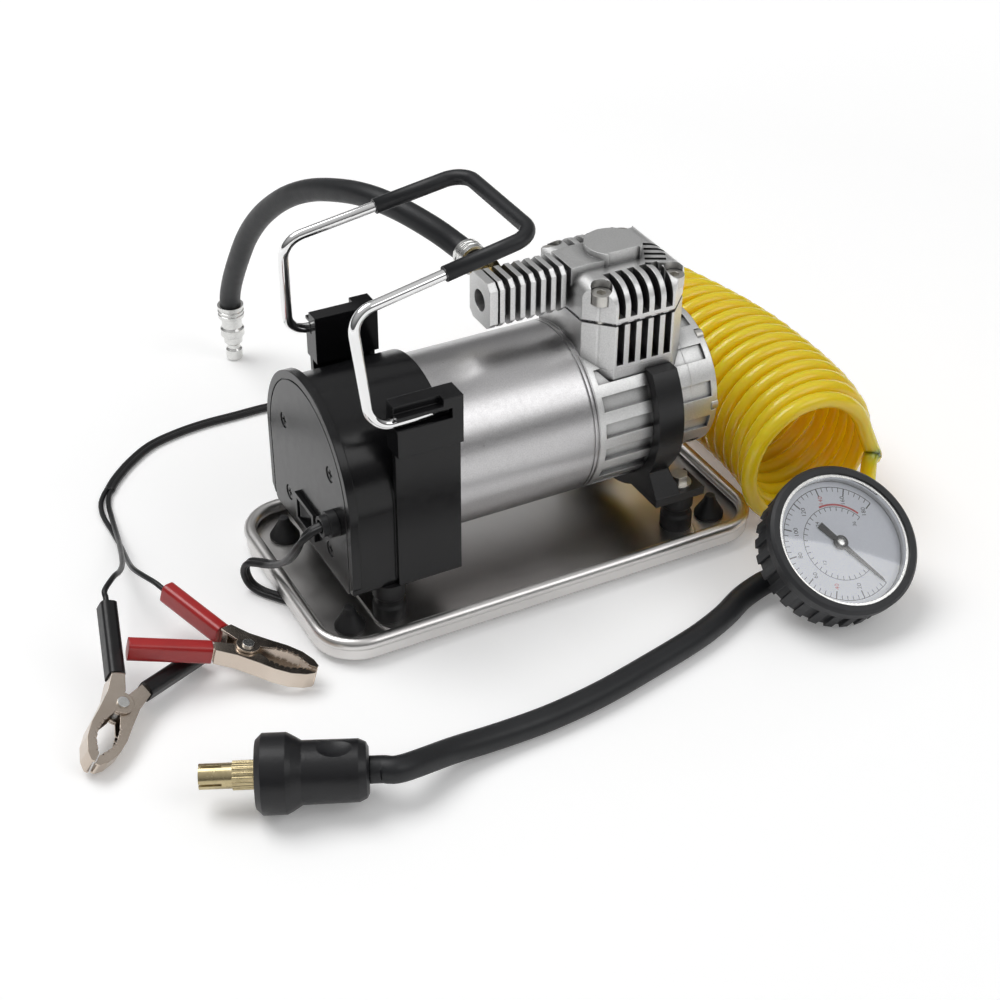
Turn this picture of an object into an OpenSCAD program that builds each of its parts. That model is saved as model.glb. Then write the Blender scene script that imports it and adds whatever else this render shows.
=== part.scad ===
// Portable 12 V tire inflator: a direct-drive piston compressor on a pressed tray,
// with its air hoses, pressure gauge, valve chuck and battery leads.
// Millimetres. X is the motor axis, Z is up, and the origin is on the floor under
// the middle of the tray.

/* [Tray] */
// Length of the tray over its rolled rim
tray_l = 223; // [215:1:240]
// Width of the tray over its rolled rim
tray_w = 119; // [114:1:130]
// Corner radius of the tray in plan
tray_r = 22; // [16:1:28]
// Height of the tray from the bottom of its wall to the top of its rim
tray_h = 10; // [9:0.5:14]
// Thickness of the tray's sheet metal
tray_sheet = 1.5; // [1:0.1:2]
// Diameter of the rolled rim
rim_d = 6; // [5:0.5:7]
// Height that the rubber feet lift the tray off the floor
foot_lift = 3.5; // [3.3:0.1:5]
// Diameter of a rubber foot at its flange
foot_d = 16; // [13:0.5:17]

/* [Motor] */
// Height of the motor axis above the floor
motor_z = 65; // [65:0.5:68]
// Outer diameter of the motor can
can_d = 80; // [78:0.5:80.5]
// Length of the motor can
can_l = 76; // [72:1:80]
// Wall of the motor can
can_wall = 2.5; // [1.5:0.1:3]
// Diameter of the motor shaft
shaft_d = 8; // [6:0.5:9]
// Diameter of the armature
armature_d = 57; // [50:1:58]
// Air gap between the armature and the magnets
air_gap = 1; // [0.8:0.1:1.2]
// Number of slots in the armature
armature_slots = 12; // [10:1:14]

/* [Crankcase and cylinder] */
// Diameter of the crankcase over its ribs
case_d = 80; // [79:0.5:81]
// Depth of the crankcase's cooling ribs
case_rib = 2.2; // [1:0.1:2.5]
// Number of ribs round the crankcase
case_ribs = 20; // [16:2:24]
// Diameter of the rear cover
bell_d = 68; // [66:0.5:70]
// Length of the rear cover behind the crankcase
bell_l = 13; // [10:1:16]
// Distance from the end of the can to the cylinder axis
cylinder_offset = 26; // [25:0.5:27]
// Bore of the cylinder
bore_d = 40; // [36:0.5:41]
// Piston stroke
stroke = 16; // [12:0.5:16]
// Length of the cylinder block along the motor
block_l = 52; // [50:1:54]
// Width of the cylinder block across the motor
block_w = 60; // [58:1:62]
// Height of the cylinder block
block_h = 22; // [21.5:0.5:24]
// Pitch of the cooling fins
fin_pitch = 6; // [5:0.5:7]
// Thickness of a cooling fin
fin_t = 2.6; // [2:0.1:3.5]
// Height of the finned cylinder head
head_h = 14; // [13:0.5:16]
// Height of the boss on top of the head
boss_h = 9; // [6:0.5:11]
// Length of the finned outlet arm
arm_l = 40; // [34:1:42]
// Width of the outlet arm
arm_w = 19; // [17:0.5:21]
// Height of the outlet arm
arm_h = 22; // [20:0.5:24]

/* [Front cover and handle] */
// Length of the front cover
cover_l = 52; // [50:1:56]
// Wall of the front cover
cover_wall = 2.6; // [2:0.1:3]
// Radius of the cover's front plate
plate_r = 46; // [45:0.5:47]
// Thickness of the cover's front plate
plate_t = 4; // [3:0.5:5]
// Diameter of the handle wire
wire_d = 4.6; // [4:0.1:5]
// Diameter of the rubber sleeve on the handle
sleeve_d = 6.8; // [6.4:0.1:8]

/* [Hoses, gauge and chuck] */
// Diameter of the leader hose
leader_d = 11; // [9:0.1:11.4]
// Diameter of the recoil hose's tube
recoil_d = 7.6; // [7:0.1:7.8]
// Radius of the recoil coil at the middle of its tube
recoil_r = 32.5; // [31:0.5:33]
// Number of loops in the recoil coil
recoil_loops = 17; // [16:1:22]
// Diameter of the whip hose between the gauge and the chuck
whip_d = 11; // [10:0.1:11.4]
// Diameter of the gauge's rubber boot over its teeth
boot_d = 72; // [71:0.5:75]
// Thickness of the gauge's rubber boot
boot_t = 26; // [25:0.5:28]
// Tilt of the leaning gauge
gauge_tilt = 35; // [33:1:36]
// Diameter of the chuck's collar
chuck_d = 32; // [30:0.5:33]

/* [Battery leads] */
// Width of the flat twin cord
cord_w = 5.4; // [5:0.1:5.6]
// Thickness of the flat twin cord
cord_t = 2.9; // [2.6:0.1:3]
// Diameter of each single lead
lead_d = 2.5; // [2.2:0.1:2.5]
// Number of loops in the put-away cord
cord_loops = 6; // [4:2:6]
// Length of a clamp's handles from its pin
clamp_handle = 50; // [46:1:54]
// Length of a clamp's jaws from its pin
clamp_jaw = 31; // [30:1:34]
// Width of a clamp across its cheeks
clamp_w = 10; // [9.5:0.5:12]
// Half of the angle between a clamp's handles
clamp_spread = 27; // [25:1:29]

/* [Hidden] */
$fn = 64;

// Clearances
fit = 0.2;        // between fixed pieces that slip together
run = 0.05;       // radial, between a shaft and its bore
gap = 0.3;        // beside a piece that moves

// ---------------------------------------------------------------- helpers
function unit(v) = v / norm(v);

// A point on the smooth curve through a, b, c and d, between b and c
function blend_point(a, b, c, d, t) =
  0.5 * (2 * b + (c - a) * t + (2 * a - 5 * b + 4 * c - d) * t * t
  + (3 * b - a - 3 * c + d) * t * t * t);

// The smooth curve through the points p, with n steps between neighbours
function smooth(p, n) = concat(
  [for (i = [0 : len(p) - 2], j = [0 : n - 1])
    blend_point(p[max(i - 1, 0)], p[i], p[i + 1], p[min(i + 2, len(p) - 1)], j / n)],
  [p[len(p) - 1]]
);

function tangents(p) =
  [for (i = [0 : len(p) - 1]) unit(p[min(i + 1, len(p) - 1)] - p[max(i - 1, 0)])];

// Section directions carried along the tangents t without twist, from a first one
function carried(t, first) =
  [for (i = 0, n = unit(first - (first * t[0]) * t[0]);
    i < len(t);
    i = i + 1, n = i < len(t) ? unit(n - (n * t[i]) * t[i]) : n) n];

// Section directions that stay level, carried on where the path runs straight up or down
function level_next(n, v) =
  let (side = cross([0, 0, 1], v))
  norm(side) < 0.25 ? unit(n - (n * v) * v) : unit(side) * (side * n < 0 ? -1 : 1);
function level(t) =
  [for (i = 0, n = unit(cross([0, 0, 1], t[0]));
    i < len(t);
    i = i + 1, n = i < len(t) ? level_next(n, t[i]) : n) n];

// A closed tube along the points p: its section has half-width a along the
// directions n, half-height b across them and s sides
module swept(p, n, a, b, s) {
  t = tangents(p);
  points = [for (i = [0 : len(p) - 1], k = [0 : s - 1])
    let (w = 360 * (k + 0.5) / s)
    p[i] + n[i] * a * cos(w) + cross(t[i], n[i]) * b * sin(w)];
  last = (len(p) - 1) * s;
  faces = concat(
    [for (i = [0 : len(p) - 2], k = [0 : s - 1]) [i * s + k, i * s + s + k, i * s + (k + 1) % s]],
    [for (i = [0 : len(p) - 2], k = [0 : s - 1])
      [i * s + s + k, i * s + s + (k + 1) % s, i * s + (k + 1) % s]],
    [for (k = [1 : s - 2]) [0, k, k + 1]],
    [for (k = [1 : s - 2]) [last, last + k + 1, last + k]]
  );
  polyhedron(points, faces);
}

// A round tube of diameter d through the points p
module hose(p, d, s, first = [0, 0, 1]) {
  swept(p, carried(tangents(p), first), d / 2, d / 2, s);
}

// Turns what lies along Z to lie along the direction d at the point p
module aim(p, d) {
  translate(p) rotate([0, acos(d[2] / norm(d)), atan2(d[1], d[0])]) children();
}

// The least distance between points of p that lie more than m steps apart
function least_gap(p, m) =
  min([for (i = [0 : len(p) - 1 - m]) min([for (j = [i + m : len(p) - 1]) norm(p[i] - p[j])])]);

// A rectangle with round corners
module round_rect(l, w, r) {
  square([l, w - 2 * r], center = true);
  square([l - 2 * r, w], center = true);
  for (x = [-1, 1], y = [-1, 1]) translate([x * (l / 2 - r), y * (w / 2 - r)]) circle(r);
}

// Turns what lies along Z to lie along X
module along_x(x) {
  translate([x, 0, motor_z]) rotate([0, 90, 0]) children();
}

// A ring or disc about the motor axis from x0 to x1
module disc_x(x0, x1, r, hole = 0) {
  along_x(x0) difference() {
    cylinder(h = x1 - x0, r = r);
    if (hole > 0) translate([0, 0, -1]) cylinder(h = x1 - x0 + 2, r = hole);
  }
}

// A block with cut corners, standing on z = 0
module octagon(l, w, h, cut) {
  linear_extrude(h) polygon([
    [l / 2, w / 2 - cut], [l / 2 - cut, w / 2], [cut - l / 2, w / 2], [-l / 2, w / 2 - cut],
    [-l / 2, cut - w / 2], [cut - l / 2, -w / 2], [l / 2 - cut, -w / 2], [l / 2, cut - w / 2]
  ]);
}

// ---------------------------------------------------------------- tray
floor_z = foot_lift + tray_sheet + 1;
panel_h = 1;
panel_z = floor_z + panel_h;
rim_z = foot_lift + tray_h;
wall_in = 0.8;
foot_x = tray_l / 2 - 18.5;
foot_y = tray_w / 2 - 22;
post_x = foot_x - 19;
post_y = foot_y + 0.5;
post_d = 15;
post_top = 26.5;
bolt_d = 5;
foot_hole = 8;

module tray() {
  color("silver") difference() {
    union() {
      difference() {
        translate([0, 0, foot_lift]) linear_extrude(tray_h - rim_d / 2)
          round_rect(tray_l - 2 * wall_in, tray_w - 2 * wall_in, tray_r - wall_in);
        translate([0, 0, floor_z]) linear_extrude(tray_h)
          round_rect(tray_l - 2 * (wall_in + tray_sheet), tray_w - 2 * (wall_in + tray_sheet),
            tray_r - wall_in - tray_sheet);
        translate([0, 0, foot_lift - 1]) linear_extrude(floor_z - tray_sheet - foot_lift + 1)
          round_rect(tray_l - 2 * (wall_in + tray_sheet), tray_w - 2 * (wall_in + tray_sheet),
            tray_r - wall_in - tray_sheet);
      }
      translate([0, 0, floor_z - 0.5]) linear_extrude(panel_h + 0.5)
        round_rect(2 * post_x + 15, tray_w - 15, 12);
      rolled_rim();
    }
    translate([0, 0, floor_z - tray_sheet - 0.5]) linear_extrude(panel_h + 0.5)
      round_rect(2 * post_x + 15 - 2 * tray_sheet, tray_w - 15 - 2 * tray_sheet, 12 - tray_sheet);
    for (x = [-1, 1], y = [-1, 1]) {
      translate([x * foot_x, y * foot_y, 0]) cylinder(h = 20, d = foot_hole);
      translate([x * post_x, y * post_y, 0]) cylinder(h = 20, d = bolt_d + 2 * fit);
    }
  }
}

module rolled_rim() {
  r = rim_d / 2;
  x = tray_l / 2 - tray_r;
  y = tray_w / 2 - tray_r;
  translate([0, 0, rim_z - r]) {
    for (s = [-1, 1]) {
      translate([-x, s * (tray_w / 2 - r), 0]) rotate([0, 90, 0]) cylinder(h = 2 * x, r = r);
      translate([s * (tray_l / 2 - r), -y, 0]) rotate([-90, 0, 0]) cylinder(h = 2 * y, r = r);
    }
    for (c = [[x, y, 0], [-x, y, 90], [-x, -y, 180], [x, -y, 270]])
      translate([c[0], c[1], 0]) rotate([0, 0, c[2]])
        rotate_extrude(angle = 90) translate([tray_r - r, 0]) circle(r);
  }
}

module tray_feet() {
  color("dimgray") for (x = [-1, 1], y = [-1, 1])
    translate([x * foot_x, y * foot_y, 0]) rotate_extrude() polygon([
      [0, 0], [foot_d / 2 - 1, 0], [foot_d / 2, 1], [foot_d / 2, floor_z - tray_sheet],
      [foot_hole / 2 - 0.1, floor_z - tray_sheet], [foot_hole / 2 - 0.1, floor_z],
      [foot_d / 2 - 1, floor_z], [foot_d / 2 - 1, floor_z + 1.5], [3.2, floor_z + 8],
      [2.2, floor_z + 11], [0, floor_z + 11]
    ]);
}

module cushion_posts() {
  color("black") for (x = [-1, 1], y = [-1, 1])
    translate([x * post_x, y * post_y, 0]) rotate_extrude() polygon([
      [bolt_d / 2 + fit, panel_z], [post_d / 2, panel_z], [post_d / 2, panel_z + 7],
      [post_d / 2 - 1, panel_z + 8.5], [post_d / 2 - 1, post_top - 8.5],
      [post_d / 2, post_top - 7], [post_d / 2, post_top], [bolt_d / 2 + fit, post_top]
    ]);
}

// ---------------------------------------------------------------- motor
can_x1 = 30;
can_x0 = can_x1 - can_l;
can_r = can_d / 2;
can_in = can_r - can_wall;
cap_x0 = can_x0 - 14;
magnet_in = armature_d / 2 + air_gap;

module motor_can() {
  color("silver") difference() {
    disc_x(can_x0, can_x1, can_r, can_in);
    disc_x(can_x1 - 3.4, can_x1 - 2.6, can_r + 1, can_r - 0.8);
    disc_x(can_x1 - 1.4, can_x1 - 0.6, can_r + 1, can_r - 0.8);
  }
}

module brush_end_cap() {
  color("dimgray") difference() {
    union() {
      disc_x(cap_x0, can_x0, can_r - 4, can_r - 7);
      disc_x(cap_x0 - 3, cap_x0, can_r - 4);
      disc_x(can_x0 - 2, can_x0, can_r - 0.5, can_r - 7);
      disc_x(cap_x0 - 8, cap_x0 - 3, 13.5);
      for (s = [-1, 1]) translate([cap_x0, s * 17.5 - 5, motor_z - 6]) cube([12, 10, 12]);
    }
    disc_x(cap_x0 - 6, cap_x0 + 1, 11);
    disc_x(cap_x0 - 9, cap_x0 + 20, shaft_d / 2 + 1);
    for (s = [-1, 1])
      translate([cap_x0 + 3, s * 17 - 7, motor_z - 4]) cube([7, 14, 8]);
  }
}

module carbon_brushes() {
  color("black") for (s = [-1, 1]) translate([0, 0, motor_z]) difference() {
    translate([cap_x0 + 3.2, s > 0 ? 12 : -22, -3.8]) cube([6.6, 10, 7.6]);
    translate([cap_x0, 0, 0]) rotate([0, 90, 0]) cylinder(h = 20, r = 12.3);
  }
}

module field_magnets() {
  color("gray") for (s = [-1, 1]) intersection() {
    disc_x(can_x0 + 8, can_x1 - 8, can_in - 0.1, magnet_in);
    translate([can_x0, -25, motor_z + (s > 0 ? 12 : -60)]) cube([can_l, 50, 48]);
  }
}

module shaft_bearings() {
  color("lightgray") {
    disc_x(cap_x0 - 6, cap_x0 + 1, 11 - 0.05, shaft_d / 2 + run);
    disc_x(can_x1 + 2, can_x1 + 9, 11 - 0.05, shaft_d / 2 + run);
  }
}

core_x0 = can_x0 + 16;
core_x1 = can_x1 - 14;

module armature_core() {
  color("slategray") difference() {
    disc_x(core_x0, core_x1, armature_d / 2, shaft_d / 2);
    for (i = [0 : armature_slots - 1])
      along_x(core_x0 - 1) rotate([0, 0, i * 360 / armature_slots]) {
        translate([armature_d / 2 - 9, -2.6, 0]) cube([6.5, 5.2, core_x1 - core_x0 + 2]);
        translate([armature_d / 2 - 3, -1, 0]) cube([5, 2, core_x1 - core_x0 + 2]);
      }
  }
}

module armature_windings() {
  color("peru") {
    for (i = [0 : armature_slots - 1])
      along_x(core_x0 - 2) rotate([0, 0, i * 360 / armature_slots])
        translate([armature_d / 2 - 8.7, -2.3, 0]) cube([5.9, 4.6, core_x1 - core_x0 + 4]);
    for (x = [core_x0 - 7, core_x1 + 0.3])
      disc_x(x, x + 6.7, armature_d / 2 - 2.5, shaft_d / 2 + 4);
  }
}

module commutator() {
  color("chocolate") difference() {
    disc_x(cap_x0 + 2.5, core_x0 - 7.2, 12, shaft_d / 2);
    for (i = [0 : armature_slots - 1])
      along_x(cap_x0 + 1.5) rotate([0, 0, (i + 0.5) * 360 / armature_slots])
        translate([11, -0.3, 0]) cube([3, 0.6, 13]);
  }
}

module motor_shaft() {
  color("lightsteelblue") disc_x(cap_x0 - 6, web_x0 + 3, shaft_d / 2);
}

// ---------------------------------------------------------------- crank and piston
cyl_x = can_x1 + cylinder_offset;
throw = stroke / 2;
web_x0 = cyl_x - 14;
web_x1 = cyl_x - 6;
pin_d = 9;
bearing_d = 22;
rod_t = 7;
block_cut = 11;
head_bolt_x = block_l / 2 - 7.5;
head_bolt_y = block_w / 2 - 7.5;
pin_z = motor_z - throw;
deck_z = motor_z + 30.5;
block_top = deck_z + block_h;
piston_h = 7;
piston_top = block_top - 0.6 - stroke;

module crank_web() {
  color("gray") difference() {
    union() {
      disc_x(web_x0, web_x1, 11);
      along_x(web_x0) difference() {
        cylinder(h = web_x1 - web_x0, r = 25);
        translate([6, -40, -1]) cube([40, 80, 20]);
        for (s = [-1, 1]) rotate([0, 0, -s * 32]) translate([-40, s > 0 ? 8 : -48, -1])
          cube([80, 40, 20]);
      }
      translate([web_x0, 0, pin_z]) rotate([0, 90, 0]) cylinder(h = web_x1 - web_x0, r = 8);
    }
    disc_x(web_x0 - 1, web_x0 + 3, shaft_d / 2);
  }
}

module crank_bearing() {
  color("lightgray") translate([cyl_x - rod_t / 2 - 2.2, 0, pin_z]) rotate([0, 90, 0]) {
    cylinder(h = rod_t + 3, d = pin_d);
    translate([0, 0, 2.2]) difference() {
      cylinder(h = rod_t, d = bearing_d);
      translate([0, 0, -1]) cylinder(h = rod_t + 2, d = pin_d);
      for (z = [-1, rod_t - 0.8]) translate([0, 0, z]) difference() {
        cylinder(h = 1.8, d = bearing_d - 5);
        translate([0, 0, -1]) cylinder(h = 4, d = pin_d + 4);
      }
    }
  }
}

module connecting_rod() {
  rod_z = piston_top - piston_h - pin_z;
  color("silver") difference() {
    union() {
      translate([cyl_x - rod_t / 2, 0, pin_z]) rotate([0, 90, 0]) cylinder(h = rod_t, d = bearing_d + 8);
      translate([cyl_x - rod_t / 2, -7, pin_z]) cube([rod_t, 14, rod_z + 1]);
      translate([cyl_x, 0, piston_top - piston_h]) cylinder(h = piston_h, d = bore_d - 2.4);
    }
    translate([cyl_x - rod_t, 0, pin_z]) rotate([0, 90, 0]) cylinder(h = 2 * rod_t, d = bearing_d);
    translate([cyl_x, 0, piston_top - 4]) difference() {
      cylinder(h = 2, d = bore_d);
      translate([0, 0, -1]) cylinder(h = 4, d = bore_d - 6);
    }
    for (s = [-1, 1]) translate([cyl_x + (s > 0 ? rod_t / 2 - 1.5 : -rod_t / 2 - 1), -3.5, pin_z + 17])
      cube([2.5, 7, rod_z - 20]);
  }
}

module piston_cup() {
  color("black") translate([cyl_x, 0, piston_top - 3.9]) difference() {
    cylinder(h = 1.8, d = bore_d - 2 * run);
    translate([0, 0, -1]) cylinder(h = 4, d = bore_d - 5.9);
  }
}

// ---------------------------------------------------------------- crankcase
case_x1 = cyl_x + block_l / 2;
case_step = case_x1 - 12;
chamber_r = 29;
deck_t = 9;
case_r = case_d / 2;
bell_r = bell_d / 2;
cover_bolts = [30 : 60 : 330];
cover_bolt_r = bell_r - 2.7;

// Grooves between broad ribs on a drum of radius r, from x0 to x1
module rib_grooves(x0, x1, r, count, share, depth) {
  for (i = [0 : count - 1]) along_x(x0) rotate([0, 0, (i + 0.5) * 360 / count])
    translate([r - depth, -PI * r * share / count, 0])
      cube([depth + 2, 2 * PI * r * share / count, x1 - x0]);
}

module crankcase() {
  color("silver") difference() {
    union() {
      difference() {
        disc_x(can_x1, case_step, case_r);
        rib_grooves(can_x1 + 3, case_step - 12.5, case_r, case_ribs, 0.55, case_rib);
      }
      difference() {
        disc_x(case_step - 1, case_x1, bell_r);
        rib_grooves(case_step, case_x1 + 1, bell_r, 12, 0.42, 1.6);
      }
      translate([cyl_x, 0, deck_z - deck_t]) octagon(block_l, block_w, deck_t, block_cut);
    }
    translate([cyl_x, 0, deck_z]) octagon(block_l, block_w, 40, block_cut);
    disc_x(can_x1 + 2, can_x1 + 9, 11);
    disc_x(can_x1 - 1, can_x1 + 3, shaft_d / 2 + 2);
    disc_x(can_x1 + 9 - 0.01, case_x1 + 1, chamber_r);
    translate([cyl_x, 0, motor_z]) cylinder(h = 60, d = bore_d + 3);
    for (x = [-1, 1], y = [-1, 1])
      translate([cyl_x + x * head_bolt_x, y * head_bolt_y, deck_z - 7]) cylinder(h = 20, d = bolt_d);
    for (a = cover_bolts) along_x(case_x1 - 8) rotate([0, 0, a])
      translate([cover_bolt_r, 0, 0]) cylinder(h = 20, d = 3);
  }
}

module rear_cover() {
  color("silver") difference() {
    union() {
      disc_x(case_x1, case_x1 + bell_l, bell_r);
      disc_x(case_x1 - 3, case_x1, chamber_r - 0.1);
    }
    rib_grooves(case_x1 - 1, case_x1 + bell_l - 3, bell_r, 12, 0.42, 1.6);
    disc_x(case_x1 - 4, case_x1 + bell_l - 4, chamber_r - 3);
    disc_x(case_x1 + bell_l - 1.5, case_x1 + bell_l + 1, 16, 12);
    for (a = cover_bolts) along_x(case_x1 - 8) rotate([0, 0, a]) translate([cover_bolt_r, 0, 0]) {
      cylinder(h = 40, d = 3.4);
      translate([0, 0, 8 + bell_l - 3]) cylinder(h = 10, d = 7);
    }
  }
}

bracket_w = 13;
bracket_x0 = case_step - bracket_w;
bracket_r = case_r + 5.5;
pad_t = 4;

module mounting_bracket() {
  color("black") difference() {
    union() {
      difference() {
        disc_x(bracket_x0, bracket_x0 + bracket_w, bracket_r);
        translate([bracket_x0 - 1, -70, deck_z - 3]) cube([bracket_w + 2, 140, 60]);
      }
      translate([bracket_x0, 0, post_top]) rotate([90, 0, 90]) linear_extrude(bracket_w)
        polygon([[-46, 0], [46, 0], [46, pad_t], [38, 16], [-38, 16], [-46, pad_t]]);
      for (s = [-1, 1]) translate([bracket_x0, s * post_y - 8.5, post_top])
        cube([post_x + 9 - bracket_x0, 17, pad_t]);
    }
    disc_x(bracket_x0 - 1, bracket_x0 + bracket_w + 1, case_r + 0.1);
    translate([cyl_x, 0, deck_z - deck_t - fit])
      octagon(block_l + 2 * fit, block_w + 2 * fit, deck_t, block_cut);
    for (s = [-1, 1]) translate([post_x, s * post_y, post_top - 1]) {
      cylinder(h = 20, d = bolt_d + 2 * fit);
      translate([0, 0, pad_t + 1]) cylinder(h = 20, d = 13);
    }
  }
}

// ---------------------------------------------------------------- cylinder and head
// Inner ends of the slots between the fins, from the middle of the block
slot_y = block_w / 2 - 6;
head_slot_y = block_w / 2 - 15;

module cylinder_block() {
  color("silver") translate([cyl_x, 0, deck_z]) difference() {
    octagon(block_l, block_w, block_h, block_cut);
    translate([0, 0, -1]) cylinder(h = block_h + 2, d = bore_d);
    for (i = [-2 : 2], s = [-1, 1])
      translate([i * fin_pitch - (fin_pitch - fin_t) / 2, s > 0 ? slot_y : -slot_y - 10, 2])
        cube([fin_pitch - fin_t, 10, block_h]);
    for (x = [-1, 1], y = [-1, 1])
      translate([x * head_bolt_x, y * head_bolt_y, -1]) cylinder(h = block_h + 2, d = bolt_d + 2 * fit);
  }
}

plate_h = 1.5;
head_z = block_top + plate_h;

module valve_plate() {
  color("darkgray") translate([cyl_x, 0, block_top]) difference() {
    octagon(block_l - 1, block_w - 3, plate_h, block_cut);
    for (y = [-1, 1]) translate([0, y * 8, -1]) cylinder(h = 4, d = 6);
    for (x = [-1, 1], y = [-1, 1])
      translate([x * head_bolt_x, y * head_bolt_y, -1]) cylinder(h = 4, d = bolt_d + 2 * fit);
  }
}

arm_z = head_z - 1;
arm_x0 = cyl_x - block_l / 2 - arm_l;
port_d = 10;

// Half of the outline over a span w: level on top, with a round shoulder of radius r
module shoulders(w, h, r) {
  translate([-w / 2, 0]) square([w, h - r]);
  translate([r - w / 2, 0]) square([w - 2 * r, h]);
  for (s = [-1, 1]) translate([s * (w / 2 - r), h - r]) circle(r);
}

crown_h = head_h + boss_h - 6;

// The crown's body rounds off towards all four sides
module crown() {
  intersection() {
    octagon(block_l, block_w, crown_h, block_cut);
    rotate([90, 0, 90]) translate([0, 0, -block_l]) linear_extrude(2 * block_l)
      shoulders(block_w, crown_h, 11);
    rotate([90, 0, 0]) translate([0, 0, -block_w]) linear_extrude(2 * block_w)
      shoulders(block_l, crown_h, 7);
  }
}

module cylinder_head() {
  color("silver") difference() {
    union() {
      translate([cyl_x, 0, head_z]) crown();
      translate([cyl_x, 0, head_z]) cylinder(h = head_h + boss_h, r = 13);
      translate([cyl_x - block_l / 2, -9, head_z]) cube([block_l / 2, 18, head_h + boss_h - 3]);
      arm();
    }
    // chamber over the valve plate and the passage along the arm
    translate([cyl_x, 0, head_z - 1]) cylinder(h = 8, r = 14);
    translate([arm_x0 - 1, 0, arm_z + arm_h / 2]) rotate([0, 90, 0]) cylinder(h = arm_l + 30, d = 6);
    translate([arm_x0 - 1, 0, arm_z + arm_h / 2]) rotate([0, 90, 0]) cylinder(h = 9, d = port_d);
    translate([outlet_x, 0, outlet_z]) rotate([-90, 0, 0]) cylinder(h = 20, d = 7);
    // slots between the fins on the near and far sides
    for (i = [-2 : 2], s = [-1, 1])
      translate([cyl_x + i * fin_pitch - (fin_pitch - fin_t) / 2, s > 0 ? head_slot_y : -head_slot_y - 30,
        head_z + 2]) cube([fin_pitch - fin_t, 30, 40]);
    // slots across the right side of the crown
    for (i = [-2 : 2]) translate([cyl_x, 0, head_z + crown_h - 4]) rotate([0, 0, -28])
      translate([14, i * 4.6 - 1.1, 0]) cube([9.5, 2.2, 20]);
    // the flat cut into the near side of the boss
    translate([cyl_x - 8, -20, head_z + head_h + boss_h - 6]) cube([16, 11, 10]);
    for (x = [-1, 1], y = [-1, 1]) translate([cyl_x + x * head_bolt_x, y * head_bolt_y, head_z - 1]) {
      cylinder(h = 40, d = bolt_d + 2 * fit);
      translate([0, 0, head_h - 5]) cylinder(h = 40, d = 9.6);
    }
  }
}

module arm() {
  count = floor(arm_l / 5);
  step = arm_l / count;
  cut = 3;
  translate([arm_x0, 0, arm_z]) {
    translate([0, -arm_w / 2 + 4, 4]) cube([arm_l + 8, arm_w - 8, arm_h - 8]);
    for (i = [0 : count - 1]) translate([i * step, 0, 0]) rotate([90, 0, 90])
      linear_extrude(i == 0 ? 4 : 2.4) polygon([
        [-arm_w / 2, cut], [cut - arm_w / 2, 0], [arm_w / 2 - cut, 0], [arm_w / 2, cut],
        [arm_w / 2, arm_h - cut], [arm_w / 2 - cut, arm_h], [cut - arm_w / 2, arm_h],
        [-arm_w / 2, arm_h - cut]
      ]);
  }
}

outlet_x = 0;
outlet_z = 134.5;
outlet_y1 = 24;

module outlet_fitting() {
  color("goldenrod") translate([outlet_x, arm_w / 2 + 0.05, outlet_z]) rotate([-90, 0, 0]) {
    cylinder(h = 7, d = 14, $fn = 6);
    cylinder(h = outlet_y1 - arm_w / 2 - 0.05, d = 6);
    translate([0, 0, -4]) cylinder(h = 5, d = 6.8);
  }
}

module bolt(head_d, head_h, shank_d, shank_l) {
  difference() {
    cylinder(h = head_h, d = head_d);
    translate([0, 0, head_h - 2.5]) cylinder(h = 4, d = head_d * 0.52, $fn = 6);
  }
  translate([0, 0, -shank_l]) cylinder(h = shank_l + 0.5, d = shank_d);
}

// Head bolts, rear cover bolts and the bolts through the cushion posts
module machine_bolts() {
  color("lightgray") {
    for (x = [-1, 1], y = [-1, 1])
      translate([cyl_x + x * head_bolt_x, y * head_bolt_y, head_z + head_h - 6])
      bolt(9, 5, bolt_d, head_h - 6 + plate_h + block_h + 6);
    for (a = cover_bolts) along_x(case_x1 + bell_l - 3) rotate([0, 0, a])
      translate([cover_bolt_r, 0, 0]) bolt(6.4, 3.4, 3, bell_l + 4);
    for (y = [-1, 1]) translate([post_x, y * post_y, post_top + pad_t]) {
      cylinder(h = 1, d = 12);
      translate([0, 0, 1]) cylinder(h = 4, d = 9, $fn = 6);
      translate([0, 0, -24]) cylinder(h = 25, d = bolt_d);
    }
    for (y = [-1, 1]) translate([-post_x, y * post_y, floor_z - tray_sheet + panel_h - 2.6]) {
      cylinder(h = 2.6, d = 9, $fn = 6);
      cylinder(h = 26, d = bolt_d);
    }
  }
}

// ---------------------------------------------------------------- front cover
cover_x0 = -94;
cover_x1 = cover_x0 + cover_l;
cover_r = can_r + fit + cover_wall;
cover_z0 = post_top;
column_x0 = -72;
socket_z0 = 94;
socket_z1 = 117;
leg_y = 44;
leg_z = 109.5;
socket_y0 = 37;
socket_y1 = 48;
switch_y = 2;
switch_z = 41;
switch_w = 21;
switch_h = 14.5;
relief_y = -29.5;
relief_z = 57.5;
screw_at = [[25, 78], [-26, 80], [24, 40], [-22, 38.5]];

// The arched outline of the cover with radius r, seen along the motor axis
module arch(r, bottom) {
  translate([0, motor_z]) circle(r);
  translate([-r, bottom]) square([2 * r, motor_z - bottom]);
}

module slab_x(x0, x1) {
  translate([x0, 0, 0]) rotate([90, 0, 90]) linear_extrude(x1 - x0) children();
}

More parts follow.
